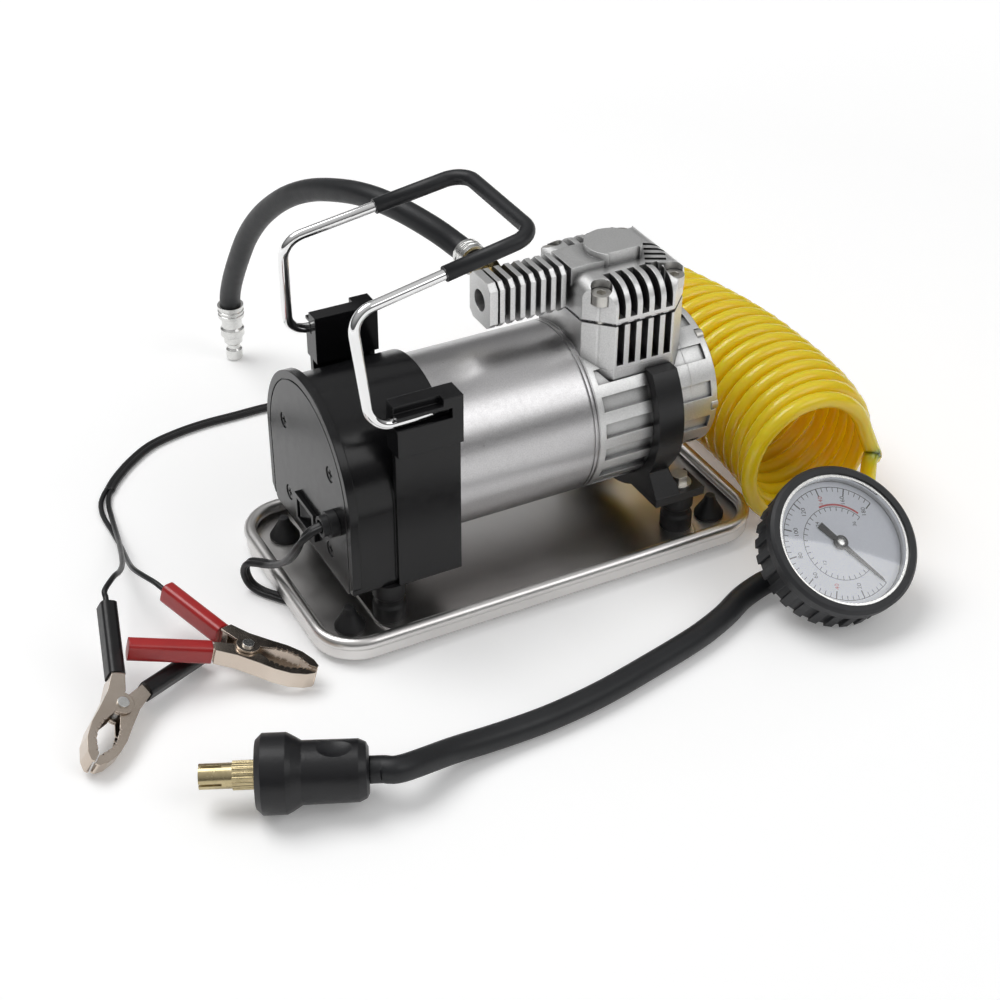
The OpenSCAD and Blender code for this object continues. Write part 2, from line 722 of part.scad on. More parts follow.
module front_cover() {
  color([0.09, 0.09, 0.1]) difference() {
    union() {
      difference() {
        slab_x(cover_x0 + 1, cover_x1) arch(cover_r, cover_z0);
        slab_x(cover_x0 + plate_t, cover_x1 - 5) arch(cover_r - cover_wall, cover_z0 + 3);
        slab_x(cover_x0, cover_x1 + 1) translate([-80, -20]) square([160, cover_z0 + 20]);
        disc_x(cover_x1 - 6, cover_x1 + 1, can_r + fit);
      }
      front_plate();
      for (s = [-1, 1]) {
        translate([column_x0, s > 0 ? cover_r - 1 : -cover_r - 2.2, cover_z0])
          cube([cover_x1 - column_x0, 3.2, socket_z0 - cover_z0 + 1]);
        socket(s);
        translate([-post_x, s * post_y, cover_z0]) intersection() {
          cylinder(h = 14, d = 12);
          translate([-6, s > 0 ? -6 : -3.9, 0]) cube([12, 9.9, 14]);
        }
      }
    }
    for (s = [-1, 1]) translate([-post_x, s * post_y, cover_z0 - 1]) cylinder(h = 14, d = bolt_d);
    // the switch opening and the cord opening
    translate([cover_x0 - 1, switch_y - switch_w / 2 + 1, switch_z - switch_h / 2 + 1])
      cube([12, switch_w - 2, switch_h - 2]);
    translate([cover_x0 - 1, relief_y, relief_z]) rotate([0, 90, 0]) cylinder(h = 12, d = 9);
    for (p = screw_at) translate([cover_x0 - 1, p[0], p[1]]) rotate([0, 90, 0]) {
      cylinder(h = 12, d = 3.4);
      cylinder(h = 3, d = 7.4);
    }
  }
}

module front_plate() {
  difference() {
    slab_x(cover_x0, cover_x0 + plate_t) difference() {
      arch(plate_r, cover_z0);
      for (s = [-1, 1]) translate([s * plate_r, cover_z0]) rotate(45) square(8, center = true);
      translate([-80, -20]) square([160, cover_z0 + 20]);
    }
    // a fine step round the face
    slab_x(cover_x0 - 1, cover_x0 + 0.8) difference() {
      arch(plate_r - 3.6, cover_z0 - 1);
      arch(plate_r - 4.4, cover_z0 - 2);
    }
  }
}

// The block that holds one lower leg of the handle, on side s
module socket(s) {
  y0 = s > 0 ? socket_y0 : -socket_y1;
  difference() {
    translate([column_x0, y0, socket_z0]) cube([cover_x1 - column_x0, socket_y1 - socket_y0, socket_z1 - socket_z0]);
    disc_x(column_x0 - 1, cover_x1 + 1, can_r + fit);
    // the channel for the wire, open to the outside and to the front
    translate([column_x0 - 1, s > 0 ? leg_y - wire_d / 2 - 0.15 : -socket_y1 - 1, leg_z - wire_d / 2 - 0.15])
      cube([cover_x1 - column_x0 - 4, socket_y1 - leg_y + wire_d / 2 + 1.15, wire_d + 0.3]);
    // ledge cut along the top
    translate([column_x0 - 1, s > 0 ? socket_y1 - 4 : -socket_y1 - 1, socket_z1 - 3.5])
      cube([cover_x1 - column_x0 - 8, 5, 5]);
  }
}

module cover_screws() {
  color("dimgray") for (p = screw_at) translate([cover_x0 + 2, p[0], p[1]]) rotate([0, -90, 0])
    difference() {
      union() {
        translate([0, 0, 0.05]) cylinder(h = 1.6, d = 6.8);
        translate([0, 0, -7]) cylinder(h = 8, d = 3);
      }
      for (a = [0, 90]) rotate([0, 0, a]) translate([-2, -0.45, 0.9]) cube([4, 0.9, 2]);
    }
}

module strain_relief() {
  color("black") translate([cover_x0, relief_y, relief_z]) rotate([0, 90, 0]) difference() {
    union() {
      translate([0, 0, -4]) cylinder(h = 4, d = 12);
      translate([0, 0, -4]) cylinder(h = 9, d = 9 - 2 * 0.1);
      translate([0, 0, -7]) cylinder(h = 4, d = 9.5);
    }
    translate([0, 0, -10]) cylinder(h = 6, d = cord_w + 1);
  }
}

module switch_housing() {
  w = switch_w - 2 - 0.2;
  h = switch_h - 2 - 0.2;
  color("black") difference() {
    union() {
      translate([cover_x0, switch_y - w / 2, switch_z - h / 2]) cube([11, w, h]);
      translate([cover_x0 - 2, switch_y - switch_w / 2, switch_z - switch_h / 2])
        cube([2, switch_w, switch_h]);
    }
    translate([cover_x0 - 3, switch_y - w / 2 + 1.2, switch_z - h / 2 + 1.2])
      cube([11, w - 2.4, h - 2.4]);
  }
}

rocker_r = 14;
rocker_pin_x = cover_x0 + 4;

module switch_rocker() {
  w = switch_w - 2 - 0.2 - 2.4 - 1.8;
  h = switch_h - 2 - 0.2 - 2.4 - 0.6;
  color([0.15, 0.15, 0.16]) translate([rocker_pin_x, switch_y, switch_z - h / 2]) linear_extrude(h)
    rotate(9) difference() {
      union() {
        circle(2.4);
        translate([-4.6, -w / 2]) square([4.6, w]);
      }
      translate([-4.6 - 17.2, 0]) circle(19);
      translate([0, w / 2 + 2.2]) circle(3.6);
      translate([0, -w / 2 - 2.2]) circle(3.6);
    }
}

// ---------------------------------------------------------------- handle
leg_x = -82;
top_y = 35.5;
top_x = -85;
top_z = 158.5;
grip_y = 32.5;
grip_x = -1;
grip_z = 173.5;
bend_r = 10;

// The points of a corner at b, rounded with radius r in n steps
function corner(a, b, c, r, n) =
  let (u = unit(a - b), v = unit(c - b), half = acos(u * v) / 2, d = r / tan(half))
  let (centre = b + unit(u + v) * r / sin(half))
  [for (i = [0 : n])
    let (s = i / n, m = (b + u * d) * (1 - s) + (b + v * d) * s)
    centre + unit(m - centre) * r];

leg_end = [cover_x1 - 5.3, -leg_y, leg_z];
handle_a = [leg_x, -leg_y, leg_z];
handle_b = [top_x, -top_y, top_z];
handle_c = [grip_x, -grip_y, grip_z];
function flip(p) = [p[0], -p[1], p[2]];
function backwards(list) = [for (i = [len(list) - 1 : -1 : 0]) list[i]];
near_half = concat(
  [leg_end],
  corner(leg_end, handle_a, handle_b, bend_r, 5),
  corner(handle_a, handle_b, handle_c, bend_r, 5),
  corner(handle_b, handle_c, flip(handle_c), bend_r, 5)
);
handle_path = concat(near_half, backwards([for (p = near_half) flip(p)]));
// the sleeve starts part of the way along each upper leg
sleeve_from = 0.5;
near_sleeve = concat(
  [handle_b * (1 - sleeve_from) + handle_c * sleeve_from],
  corner(handle_b, handle_c, flip(handle_c), bend_r, 5)
);
sleeve_path = concat(near_sleeve, backwards([for (p = near_sleeve) flip(p)]));

module handle_frame() {
  color("gainsboro") hose(handle_path, wire_d, 10, [0, 1, 0]);
}

module handle_grip() {
  color("black") difference() {
    hose(sleeve_path, sleeve_d, 10, [0, 1, 0]);
    hose(handle_path, wire_d + 0.1, 10, [0, 1, 0]);
  }
}

// ---------------------------------------------------------------- leader hose
leader_points = [
  [0, 24, 134.5], [0, 28, 134.5], [0, 32, 134.5], [-2, 39, 136], [-8, 50, 140.5], [-17, 66, 145],
  [-24, 84, 145], [-30, 103, 141], [-36, 125, 133], [-42, 144, 122], [-47, 163, 106],
  [-50, 179, 88], [-51.5, 192, 69], [-52, 203, 52], [-52, 209, 41], [-52, 211, 34], [-52, 211, 30],
  [-52, 211, 26]
];
leader_end = leader_points[len(leader_points) - 1];

module leader_hose() {
  color([0.12, 0.12, 0.13]) hose(smooth(leader_points, 3), leader_d, 10);
}

module quick_plug() {
  top = leader_end[2];
  color("silver") translate([leader_end[0], leader_end[1], 0]) rotate_extrude() polygon([
    [2.5, 0.1], [4, 0.1], [4.4, 1], [4.4, 6], [3.4, 7], [3.4, 9], [5, 10.6], [5, 14], [6.4, 15],
    [6.4, top - 7], [5.4, top - 6], [5.4, top], [2.5, top]
  ]);
}

// ---------------------------------------------------------------- gauge
// The boot's sides stand on the floor at their lower edge, where the teeth end
boot_r = boot_d / 2;
boot_base = 5;
boot_back_r = boot_r - 2;
gauge_at = [110.6, -102, boot_back_r * sin(gauge_tilt) - boot_base * cos(gauge_tilt) + 0.8];
case_outer = boot_r - 5;
dial_z = boot_t - 7;
tee_d = 14.4;
stem_l = (gauge_at[2] - tee_d / 2 - 0.1) / cos(gauge_tilt);
tee_at = gauge_at + stem_l * [0, sin(gauge_tilt), -cos(gauge_tilt)];
tee_l = 24;

module place_gauge() {
  translate(gauge_at) rotate([gauge_tilt, 0, 0]) children();
}

module gauge_boot() {
  teeth = 28;
  color([0.13, 0.13, 0.14]) place_gauge() difference() {
    union() {
      rotate_extrude() polygon([
        [0, 0], [boot_back_r - 6, 0], [boot_back_r - 1.6, boot_base - 0.5],
        [boot_back_r - 1.6, boot_t - 6], [boot_r - 0.8, boot_t - 6], [boot_r - 0.8, boot_t - 1.4],
        [boot_r - 2.2, boot_t], [0, boot_t]
      ]);
      for (i = [0 : teeth - 1]) rotate([0, 0, i * 360 / teeth]) translate([boot_back_r - 3, -2, boot_base])
        cube([3, 4, boot_t - boot_base - 5.5]);
    }
    translate([0, 0, boot_base]) cylinder(h = boot_t, r = case_outer + 0.1);
    translate([0, 0, -1]) cylinder(h = boot_base + 2, d = 14);
  }
}

module gauge_case() {
  color("silver") place_gauge() {
    difference() {
      translate([0, 0, boot_base + 0.1]) cylinder(h = boot_t - boot_base - 1.1, r = case_outer);
      translate([0, 0, boot_base + 1.6]) cylinder(h = boot_t, r = case_outer - 1.4);
      translate([0, 0, 1]) cylinder(h = 9, d = 5);
    }
    // the step that carries the dial, and the bezel inside the boot's mouth
    translate([0, 0, dial_z - 3]) difference() {
      cylinder(h = 3, r = case_outer - 1);
      translate([0, 0, -1]) cylinder(h = 5, r = case_outer - 4);
    }
  }
}

module gauge_dial() {
  color("aliceblue") place_gauge() translate([0, 0, dial_z + 0.02]) difference() {
    cylinder(h = 1, r = case_outer - 1.6);
    translate([0, 0, -1]) cylinder(h = 3, d = 3.4);
  }
}

module gauge_lens() {
  color([0.8, 0.9, 1, 0.3]) place_gauge() translate([0, 0, boot_t - 3.2])
    cylinder(h = 2, r = case_outer - 1.5);
}

needle_angle = -61;

module gauge_needle() {
  color("black") place_gauge() translate([0, 0, dial_z + 1.4]) rotate([0, 0, needle_angle]) {
    cylinder(h = 1.4, r = 3.2);
    translate([0, 0, -4.4]) cylinder(h = 5, r = 1.6);
    linear_extrude(0.6) polygon([[-12, -1.6], [-12, 1.6], [0, 1.2], [24, 0.4], [25.5, 0], [24, -0.4], [0, -1.2]]);
  }
}

module gauge_tee() {
  color("goldenrod") {
    place_gauge() translate([0, 0, -stem_l]) cylinder(h = stem_l + boot_base + 0.05, d = 9);
    translate(tee_at - [tee_l / 2, 0, 0]) rotate([0, 90, 0]) cylinder(h = tee_l, d = tee_d);
  }
}

// ---------------------------------------------------------------- chuck and whip hose
chuck_yaw = -23.8;
chuck_tip = [-187, -106.6, chuck_d / 2 + 0.1];
chuck_l = 66;
function chuck_point(z) =
  chuck_tip + z * [cos(chuck_yaw), sin(chuck_yaw), 0];

module place_chuck() {
  translate(chuck_tip) rotate([0, 90, chuck_yaw]) children();
}

module chuck_grip() {
  r = chuck_d / 2;
  color([0.1, 0.1, 0.11]) place_chuck() difference() {
    rotate_extrude() polygon([
      [6 + run, 24], [r - 2.5, 22], [r, 24.5], [r, 34], [r - 1, 36], [r - 3.4, 40], [r - 3.6, 62],
      [r - 5, 65], [r - 7, chuck_l], [3, chuck_l], [3, 46], [6 + run, 46]
    ]);
    for (a = [0, 180]) rotate([0, 0, a]) translate([r + 12, 0, 53]) sphere(r = 17);
    for (i = [0 : 11]) rotate([0, 0, i * 30 + 15]) translate([r + 1.3, 0, 20]) cylinder(h = 14, r = 2);
  }
}

module chuck_nut() {
  color("goldenrod") place_chuck() difference() {
    union() {
      cylinder(h = 13, d = 10.2);
      translate([0, 0, 13]) linear_extrude(10) {
        circle(5.4);
        for (i = [0 : 17]) rotate(i * 20) translate([5.2, 0]) circle(0.6);
      }
      translate([0, 0, 22]) cylinder(h = 12, d = 12);
    }
    translate([0, 0, -1]) cylinder(h = 15, d = 7.8);
    translate([0, 0, -1]) cylinder(h = 40, d = 3);
    for (a = [0, 90]) rotate([0, 0, a]) translate([-8, -0.65, -1]) cube([16, 1.3, 10]);
  }
}

whip_points = concat(
  [tee_at - [tee_l / 2, 0, 0], tee_at - [tee_l / 2 + 7, 0, 0], tee_at - [tee_l / 2 + 14, 0, 0]],
  [[71, -99, 6], [57, -106, 5.8], [38, -113, 5.7], [10, -120, 5.7], [-18, -126, 5.7],
   [-44, -129, 5.7], [-68, -130, 6.5], [-90, -132, 9.5]],
  [chuck_point(chuck_l + 13), chuck_point(chuck_l + 5), chuck_point(chuck_l)]
);

module whip_hose() {
  color([0.12, 0.12, 0.13]) hose(smooth(whip_points, 3), whip_d, 10);
}

// ---------------------------------------------------------------- recoil hose
// The loops stand upright in a row that bends round the end of the tray
recoil_pitch = 9.2;
recoil_z = recoil_r + recoil_d / 2 * 0.98;
coil_y0 = -59;
coil_first = 18;
coil_steps = 24;
coil_last_steps = 18;
coil_row = [
  [-60, 131], [-50, 137], [-40, 140], [-30, 142], [-15, 143.5], [0, 144], [20, 144], [40, 142],
  [60, 138], [80, 133], [100, 128], [120, 122], [150, 113]
];

function coil_point(i) =
  let (w = coil_first + i * 360 / coil_steps, y = coil_y0 + i / coil_steps * recoil_pitch)
  [lookup(y, coil_row) + recoil_r * cos(w), y, recoil_z + recoil_r * sin(w)];
coil_body = [for (i = [0 : (recoil_loops - 1) * coil_steps + coil_last_steps]) coil_point(i)];
coil_start = coil_body[0];
coil_end = coil_body[len(coil_body) - 1];
start_way = unit(coil_body[0] - coil_body[1]);
end_way = unit(coil_end - coil_body[len(coil_body) - 2]);
coil_path = concat(
  [coil_start + start_way * recoil_d * 1.2],
  coil_body,
  [coil_end + end_way * recoil_d * 1.2]
);
echo("recoil coil: least gap to itself", least_gap(coil_path, 8) - recoil_d);

module recoil_hose() {
  color("gold") hose(coil_path, recoil_d, 6, [0, 1, 0]);
}

tail_end = coil_path[0];
tail_points = concat(
  [tee_at + [tee_l / 2, 0, 0], tee_at + [tee_l / 2 + 6, 0, 0], tee_at + [tee_l / 2 + 12, 0, 0]],
  [[144, -91.5, 5.8], [152, -81, 6.5], [158, -72, 11], [163, -66, 20], [166, -62, 30]],
  [tail_end + start_way * 10, tail_end + start_way * 5, tail_end]
);

module recoil_tail() {
  color("gold") hose(smooth(tail_points, 3), recoil_d, 8);
}

coupler_at = coil_path[len(coil_path) - 1];

module place_coupler() {
  aim(coupler_at, end_way) children();
}

module recoil_coupler() {
  color("silver") place_coupler() rotate_extrude() polygon([
    [2, 0], [3.8, 0], [3.8, 8], [5.5, 9], [7.6, 10], [7.6, 16], [6.5, 17], [6.5, 34], [7.6, 34.6],
    [7.6, 37], [5, 37], [5, 22], [2, 22]
  ]);
}

module coupler_sleeve() {
  color("gray") place_coupler() rotate_extrude() polygon([
    [6.5 + run, 21], [9, 21], [9.5, 22], [9.5, 24], [8.8, 25], [8.8, 29], [9.5, 30], [9.5, 32],
    [9, 33], [6.5 + run, 33]
  ]);
}

// A crimped collar of length l on a hose of diameter d
module ferrule(d, l) {
  rotate_extrude() polygon([
    [d / 2 + 0.1, 0], [d / 2 + 1.5, 0], [d / 2 + 1.5, l * 0.25], [d / 2 + 1, l * 0.3],
    [d / 2 + 1, l * 0.4], [d / 2 + 1.5, l * 0.45], [d / 2 + 1.5, l * 0.55], [d / 2 + 1, l * 0.6],
    [d / 2 + 1, l * 0.7], [d / 2 + 1.5, l * 0.75], [d / 2 + 1.5, l], [d / 2 + 0.1, l]
  ]);
}

module hose_ferrules() {
  color("silver") {
    aim(leader_points[0], [0, 1, 0]) ferrule(leader_d, 8);
    aim(leader_end, [0, 0, 1]) ferrule(leader_d, 7);
    aim(whip_points[0], [-1, 0, 0]) ferrule(whip_d, 8);
    aim(tail_points[0], [1, 0, 0]) ferrule(recoil_d, 8);
    aim(coupler_at, -end_way) ferrule(recoil_d, 8);
  }
}

// ---------------------------------------------------------------- battery leads
cord_z = cord_t / 2 + 0.2;
cord_pitch = 6.2;
layer_h = 3.4;
put_away = [30, 100];
put_r = 34;
put_turns = cord_loops - 0.5;
put_steps = 24;

// The put-away cord spirals in on the floor and out again in a second layer
function put_point(turn) =
  let (s = abs(turn - put_turns / 2),
    r = put_r + (max(0, min(2 * s - 0.5, s + 0.25)) - put_turns / 2 - 0.25) * cord_pitch,
    up = min(max((turn - put_turns / 2 + 0.25) / 0.5, 0), 1))
  [put_away[0] + r * cos(360 * turn - 90), put_away[1] + r * sin(360 * turn - 90),
   cord_z + layer_h * up];
put_body = [for (i = [0 : put_turns * put_steps]) put_point(i / put_steps)];
put_last = put_body[len(put_body) - 1];
put_path = concat([put_body[0] - [6, 0, 0]], put_body, [put_last - [6, 0, 0]]);
echo("put-away cord: least gap to itself",
  min([for (i = [0 : len(put_body) - 13]) min([for (j = [i + 12 : len(put_body) - 1])
    let (d = put_body[i] - put_body[j]) max(norm([d[0], d[1]]) - cord_w, abs(d[2]) - cord_t)])]));

exit_points = concat([
  [cover_x0 - 4, relief_y, relief_z], [-99.5, relief_y, relief_z], [-101, relief_y, relief_z],
  [-105, -29, 56], [-108.8, -27.8, 52], [-110.8, -24.5, 45], [-111.6, -18, 36.5], [-112, -10, 29],
  [-112.4, -2, 23], [-113.8, 4.5, 19.3], [-116.5, 9.8, 17.6], [-119.5, 14.6, 15.3],
  [-120.7, 16.6, 9.7], [-119.5, 14.6, 4], [-116.5, 9.8, cord_z], [-112, 3, cord_z],
  [-106, -4, cord_z], [-97, -7, cord_z], [-87, -2, cord_z], [-76, 10, cord_z], [-62, 27, cord_z],
  [-42, 46, cord_z], [-20, 60, cord_z], [0, 65, cord_z]
], [put_path[0] - [8, 0, 0], put_path[0]]);

rear_points = concat(
  [put_path[len(put_path) - 1], put_path[len(put_path) - 1] - [8, 0, 0]],
  [[0, 136, cord_z + 3], [-14, 142, cord_z], [-34, 150, cord_z], [-56, 153, cord_z],
   [-74, 153, cord_z], [-90, 153, cord_z], [-106, 151, cord_z], [-122, 146, cord_z],
   [-136, 136, cord_z], [-147, 125, cord_z], [-153, 117, cord_z]]
);

// The flat twin cord along the points p
module twin_cord(p, s) {
  swept(p, level(tangents(p)), cord_w / 2, cord_t / 2, s);
}

module power_cord() {
  color([0.1, 0.1, 0.11]) twin_cord(smooth(exit_points, 3), 8);
}

module power_cord_coil() {
  color([0.1, 0.1, 0.11]) twin_cord(put_path, 6);
}

module power_cord_rear() {
  color([0.1, 0.1, 0.11]) twin_cord(smooth(rear_points, 3), 8);
}

// ---------------------------------------------------------------- battery clamps
// Each clamp is built round its pin, with its handles toward +X and its pin along Z,
// and is then laid down: place, turn, rise of the handles and roll to one side
red_lay = [[-142.5, -41.5, 12.8], 139, 13, 6];
black_lay = [[-201, -49, 11.4], 51, 8, 30];
clamp_sheet = 1;
cheek_gap = 0.3;
moving_w = clamp_w - 2 * (clamp_sheet + cheek_gap);
pin_hole = 3.2;
clamp_pin_d = 3;
bar_w = 6.4;
bar_t = 3.2;
grip_w = 9.4;
grip_t = 7.2;
grip_from = 15;

// A point of a clamp's own frame, laid down as lay says
function laid(lay, p) = lay[0] + laid_way(lay, p);
function laid_way(lay, v) =
  let (r = [v[0], v[1] * cos(lay[3]) - v[2] * sin(lay[3]), v[1] * sin(lay[3]) + v[2] * cos(lay[3])])
  let (q = [r[0] * cos(lay[2]) - r[2] * sin(lay[2]), r[1], r[0] * sin(lay[2]) + r[2] * cos(lay[2])])
  [q[0] * cos(lay[1]) - q[1] * sin(lay[1]), q[0] * sin(lay[1]) + q[1] * cos(lay[1]), q[2]];

module lay_clamp(lay) {
  translate(lay[0]) rotate([0, 0, lay[1]]) rotate([0, -lay[2], 0]) rotate([lay[3], 0, 0]) children();
}

// The outer edge of a pressed lever, from its jaw's tip to its handle
lever_edge = [
  [-clamp_jaw, 2], [3 - clamp_jaw, 4.8], [9 - clamp_jaw, 7.4], [-15, 8.2], [-8, 7.8], [2, 7.6], [11, 9.2]
];
// The inner edge, where the jaws bow apart behind their tips
jaw_bow = [
  [-clamp_jaw, 0.3], [4 - clamp_jaw, 0.3], [10 - clamp_jaw, 3.6], [-17, 4.4], [-11, 3.6], [-6, 1.5]
];
tooth_pitch = 2.4;

// One pressed lever of width w, with its jaw and handle on the +Y side
module lever(w) {
  difference() {
    union() {
      translate([0, 0, -w / 2]) linear_extrude(w)
        polygon(concat(lever_edge, [[13.6, 4.2], [6, 1]], backwards(jaw_bow)));
      translate([0, 0, -w / 2]) cylinder(h = w, r = 5);
    }
    translate([0, 0, clamp_sheet - w / 2]) linear_extrude(w - 2 * clamp_sheet) polygon(concat(
      [for (p = lever_edge) p - [0, clamp_sheet]], [[20, 4], [8, -7], [-8, -7], [-clamp_jaw, -7]]
    ));
    translate([0, 0, -w / 2 - 1]) cylinder(h = w + 2, d = pin_hole);
    for (x = [5.4 - clamp_jaw : tooth_pitch : -9]) translate([x, lookup(x, jaw_bow), -w])
      linear_extrude(2 * w) polygon([[-0.9, -1], [0, 1.1], [0.9, -1]]);
  }
  rotate([0, 0, clamp_spread]) {
    translate([10.5, -bar_t / 2, 0.45 - w / 2]) cube([4, bar_t, w - 0.9]);
    translate([12, -bar_t / 2, -bar_w / 2]) cube([clamp_handle - 4 - 12, bar_t, bar_w]);
  }
}

// The soft grip on the handle at the +Y side
module grip() {
  rotate([0, 0, clamp_spread]) translate([grip_from, 0, 0]) rotate([90, 0, 90]) difference() {
    linear_extrude(clamp_handle - grip_from) round_rect(grip_t, grip_w, 2.4);
    translate([0, 0, -1]) linear_extrude(clamp_handle - 3.9 - grip_from + 1)
      square([bar_t + 0.1, bar_w + 0.1], center = true);
  }
}

red_side = -1;
black_side = 1;

module on_side(s) {
  if (s > 0) children();
  else mirror([0, 1, 0]) children();
}

// The levers that the leads are fixed to
module clamp_lower_jaws() {
  color("tan") {
    lay_clamp(red_lay) on_side(red_side) lever(clamp_w);
    lay_clamp(black_lay) on_side(black_side) lever(clamp_w);
  }
}

module red_clamp_jaw() {
  color("tan") lay_clamp(red_lay) on_side(-red_side) lever(moving_w);
}

module black_clamp_jaw() {
  color("tan") lay_clamp(black_lay) on_side(-black_side) lever(moving_w);
}

module red_grip_fixed() {
  color("firebrick") lay_clamp(red_lay) on_side(red_side) grip();
}

module red_grip_moving() {
  color("firebrick") lay_clamp(red_lay) on_side(-red_side) grip();
}

module black_grip_fixed() {
  color([0.13, 0.13, 0.14]) lay_clamp(black_lay) on_side(black_side) grip();
}

module black_grip_moving() {
  color([0.13, 0.13, 0.14]) lay_clamp(black_lay) on_side(-black_side) grip();
}

// Riveted pins with their springs
module clamp_pivots() {
  spring_l = moving_w - 2 * (clamp_sheet + cheek_gap);
  color("silver") for (lay = [red_lay, black_lay]) lay_clamp(lay) {
    translate([0, 0, -clamp_w / 2 - 0.9]) cylinder(h = clamp_w + 1.8, d = clamp_pin_d);
    for (z = [-clamp_w / 2 - 0.9, clamp_w / 2 + 0.02]) translate([0, 0, z]) cylinder(h = 0.88, d = 5);
    translate([0, 0, -spring_l / 2]) difference() {
      cylinder(h = spring_l, d = 8);
      for (i = [0 : 5]) translate([0, 0, (i + 0.5) * spring_l / 6 - 0.2]) difference() {
        cylinder(h = 0.4, d = 10);
        translate([0, 0, -1]) cylinder(h = 3, d = 5.6);
      }
    }
  }
}

// ---------------------------------------------------------------- single leads
split_end = rear_points[len(rear_points) - 1];
split_way = unit(split_end - rear_points[len(rear_points) - 2]);
split_side = cross([0, 0, 1], split_way) * (lead_d / 2 + 0.15);
lead_z = lead_d / 2 + 0.3;

// The last points of a lead, straight into the end of a grip
function into_grip(lay, side) =
  let (a = side * clamp_spread)
  [for (l = [clamp_handle + 8, clamp_handle + 4, clamp_handle])
    laid(lay, [l * cos(a), l * sin(a), 0])];

red_points = concat(
  [split_end - split_side, split_end - split_side + split_way * 4],
  [[-160, 108, lead_z], [-162, 98, lead_z], [-162, 84, lead_z], [-163, 66, 4], [-165.5, 48, 10],
   [-167.5, 32, 17], [-166.5, 21, 20.5]],
  into_grip(red_lay, red_side)
);
black_points = concat(
  [split_end + split_side, split_end + split_side + split_way * 4],
  [[-157, 105, lead_z], [-159, 94, 2.8], [-161.5, 80, 5.5], [-164, 66, 9], [-167, 52, 14],
   [-169.5, 41, 18], [-172.5, 30, 22], [-176.5, 20, 26.5], [-181, 12.5, 30.5]],
  into_grip(black_lay, black_side)
);

module red_lead() {
  color([0.1, 0.1, 0.11]) hose(smooth(red_points, 3), lead_d, 8);
}

module black_lead() {
  color([0.1, 0.1, 0.11]) hose(smooth(black_points, 3), lead_d, 8);
}

tray();
tray_feet();
cushion_posts();
machine_bolts();
front_cover();
cover_screws();
strain_relief();
handle_frame();
handle_grip();
switch_housing();
switch_rocker();
motor_can();
brush_end_cap();
carbon_brushes();
field_magnets();
shaft_bearings();
armature_core();
armature_windings();
commutator();
motor_shaft();
crank_web();
crankcase();
mounting_bracket();
rear_cover();
cylinder_block();
connecting_rod();
piston_cup();
crank_bearing();
valve_plate();
cylinder_head();
outlet_fitting();
leader_hose();
hose_ferrules();
quick_plug();
recoil_hose();
recoil_tail();
recoil_coupler();
coupler_sleeve();
gauge_tee();
gauge_boot();
gauge_case();
gauge_dial();
gauge_lens();
gauge_needle();
whip_hose();
chuck_grip();
chuck_nut();
power_cord();
power_cord_coil();
power_cord_rear();
red_lead();
black_lead();
clamp_lower_jaws();
red_clamp_jaw();
black_clamp_jaw();
red_grip_fixed();
red_grip_moving();
black_grip_fixed();
black_grip_moving();
clamp_pivots();
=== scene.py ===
import math

import bmesh
import bpy
from mathutils import Matrix, Vector


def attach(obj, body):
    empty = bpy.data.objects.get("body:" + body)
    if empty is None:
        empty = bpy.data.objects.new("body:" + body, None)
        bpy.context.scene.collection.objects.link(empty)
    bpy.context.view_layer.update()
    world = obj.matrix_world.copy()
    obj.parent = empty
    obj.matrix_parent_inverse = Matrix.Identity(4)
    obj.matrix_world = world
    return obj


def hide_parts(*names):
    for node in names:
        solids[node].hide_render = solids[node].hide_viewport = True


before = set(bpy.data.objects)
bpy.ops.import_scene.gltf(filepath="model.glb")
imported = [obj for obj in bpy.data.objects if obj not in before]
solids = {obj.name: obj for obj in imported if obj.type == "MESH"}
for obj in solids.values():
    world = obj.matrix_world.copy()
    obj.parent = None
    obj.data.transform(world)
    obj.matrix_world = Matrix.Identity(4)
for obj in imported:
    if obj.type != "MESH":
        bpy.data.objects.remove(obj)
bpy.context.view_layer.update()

# ---------------------------------------------------------------- camera
# The camera looks down at the inflator over the front cover, from the side of the
# gauge. It is a long lens, so the tray's sides stay nearly parallel.
view_turn = math.radians(-27.84)
view_rise = math.radians(35.21)
view_roll = math.radians(0.38)
view_centre = Vector((-0.0274, -0.0530, 0.0625))
view_distance = 0.7892
lens_length = 66.45
camera_back = Vector((
    math.sin(view_turn) * math.cos(view_rise),
    -math.cos(view_turn) * math.cos(view_rise),
    math.sin(view_rise),
))
level_right = Vector((math.cos(view_turn), math.sin(view_turn), 0))
level_up = camera_back.cross(level_right)
camera_right = level_right * math.cos(view_roll) + level_up * math.sin(view_roll)
camera_up = level_up * math.cos(view_roll) - level_right * math.sin(view_roll)
camera_data = bpy.data.cameras.new("camera")
camera_data.sensor_width = 36
camera_data.lens = lens_length
camera_data.clip_start = 0.05
camera_data.clip_end = 20
camera = bpy.data.objects.new("camera", camera_data)
bpy.context.scene.collection.objects.link(camera)
camera_axes = Matrix((camera_right, camera_up, camera_back)).transposed().to_4x4()
camera.matrix_world = Matrix.Translation(view_centre + camera_back * view_distance) @ camera_axes
bpy.context.scene.camera = camera
bpy.context.scene.view_settings.view_transform = "Standard"


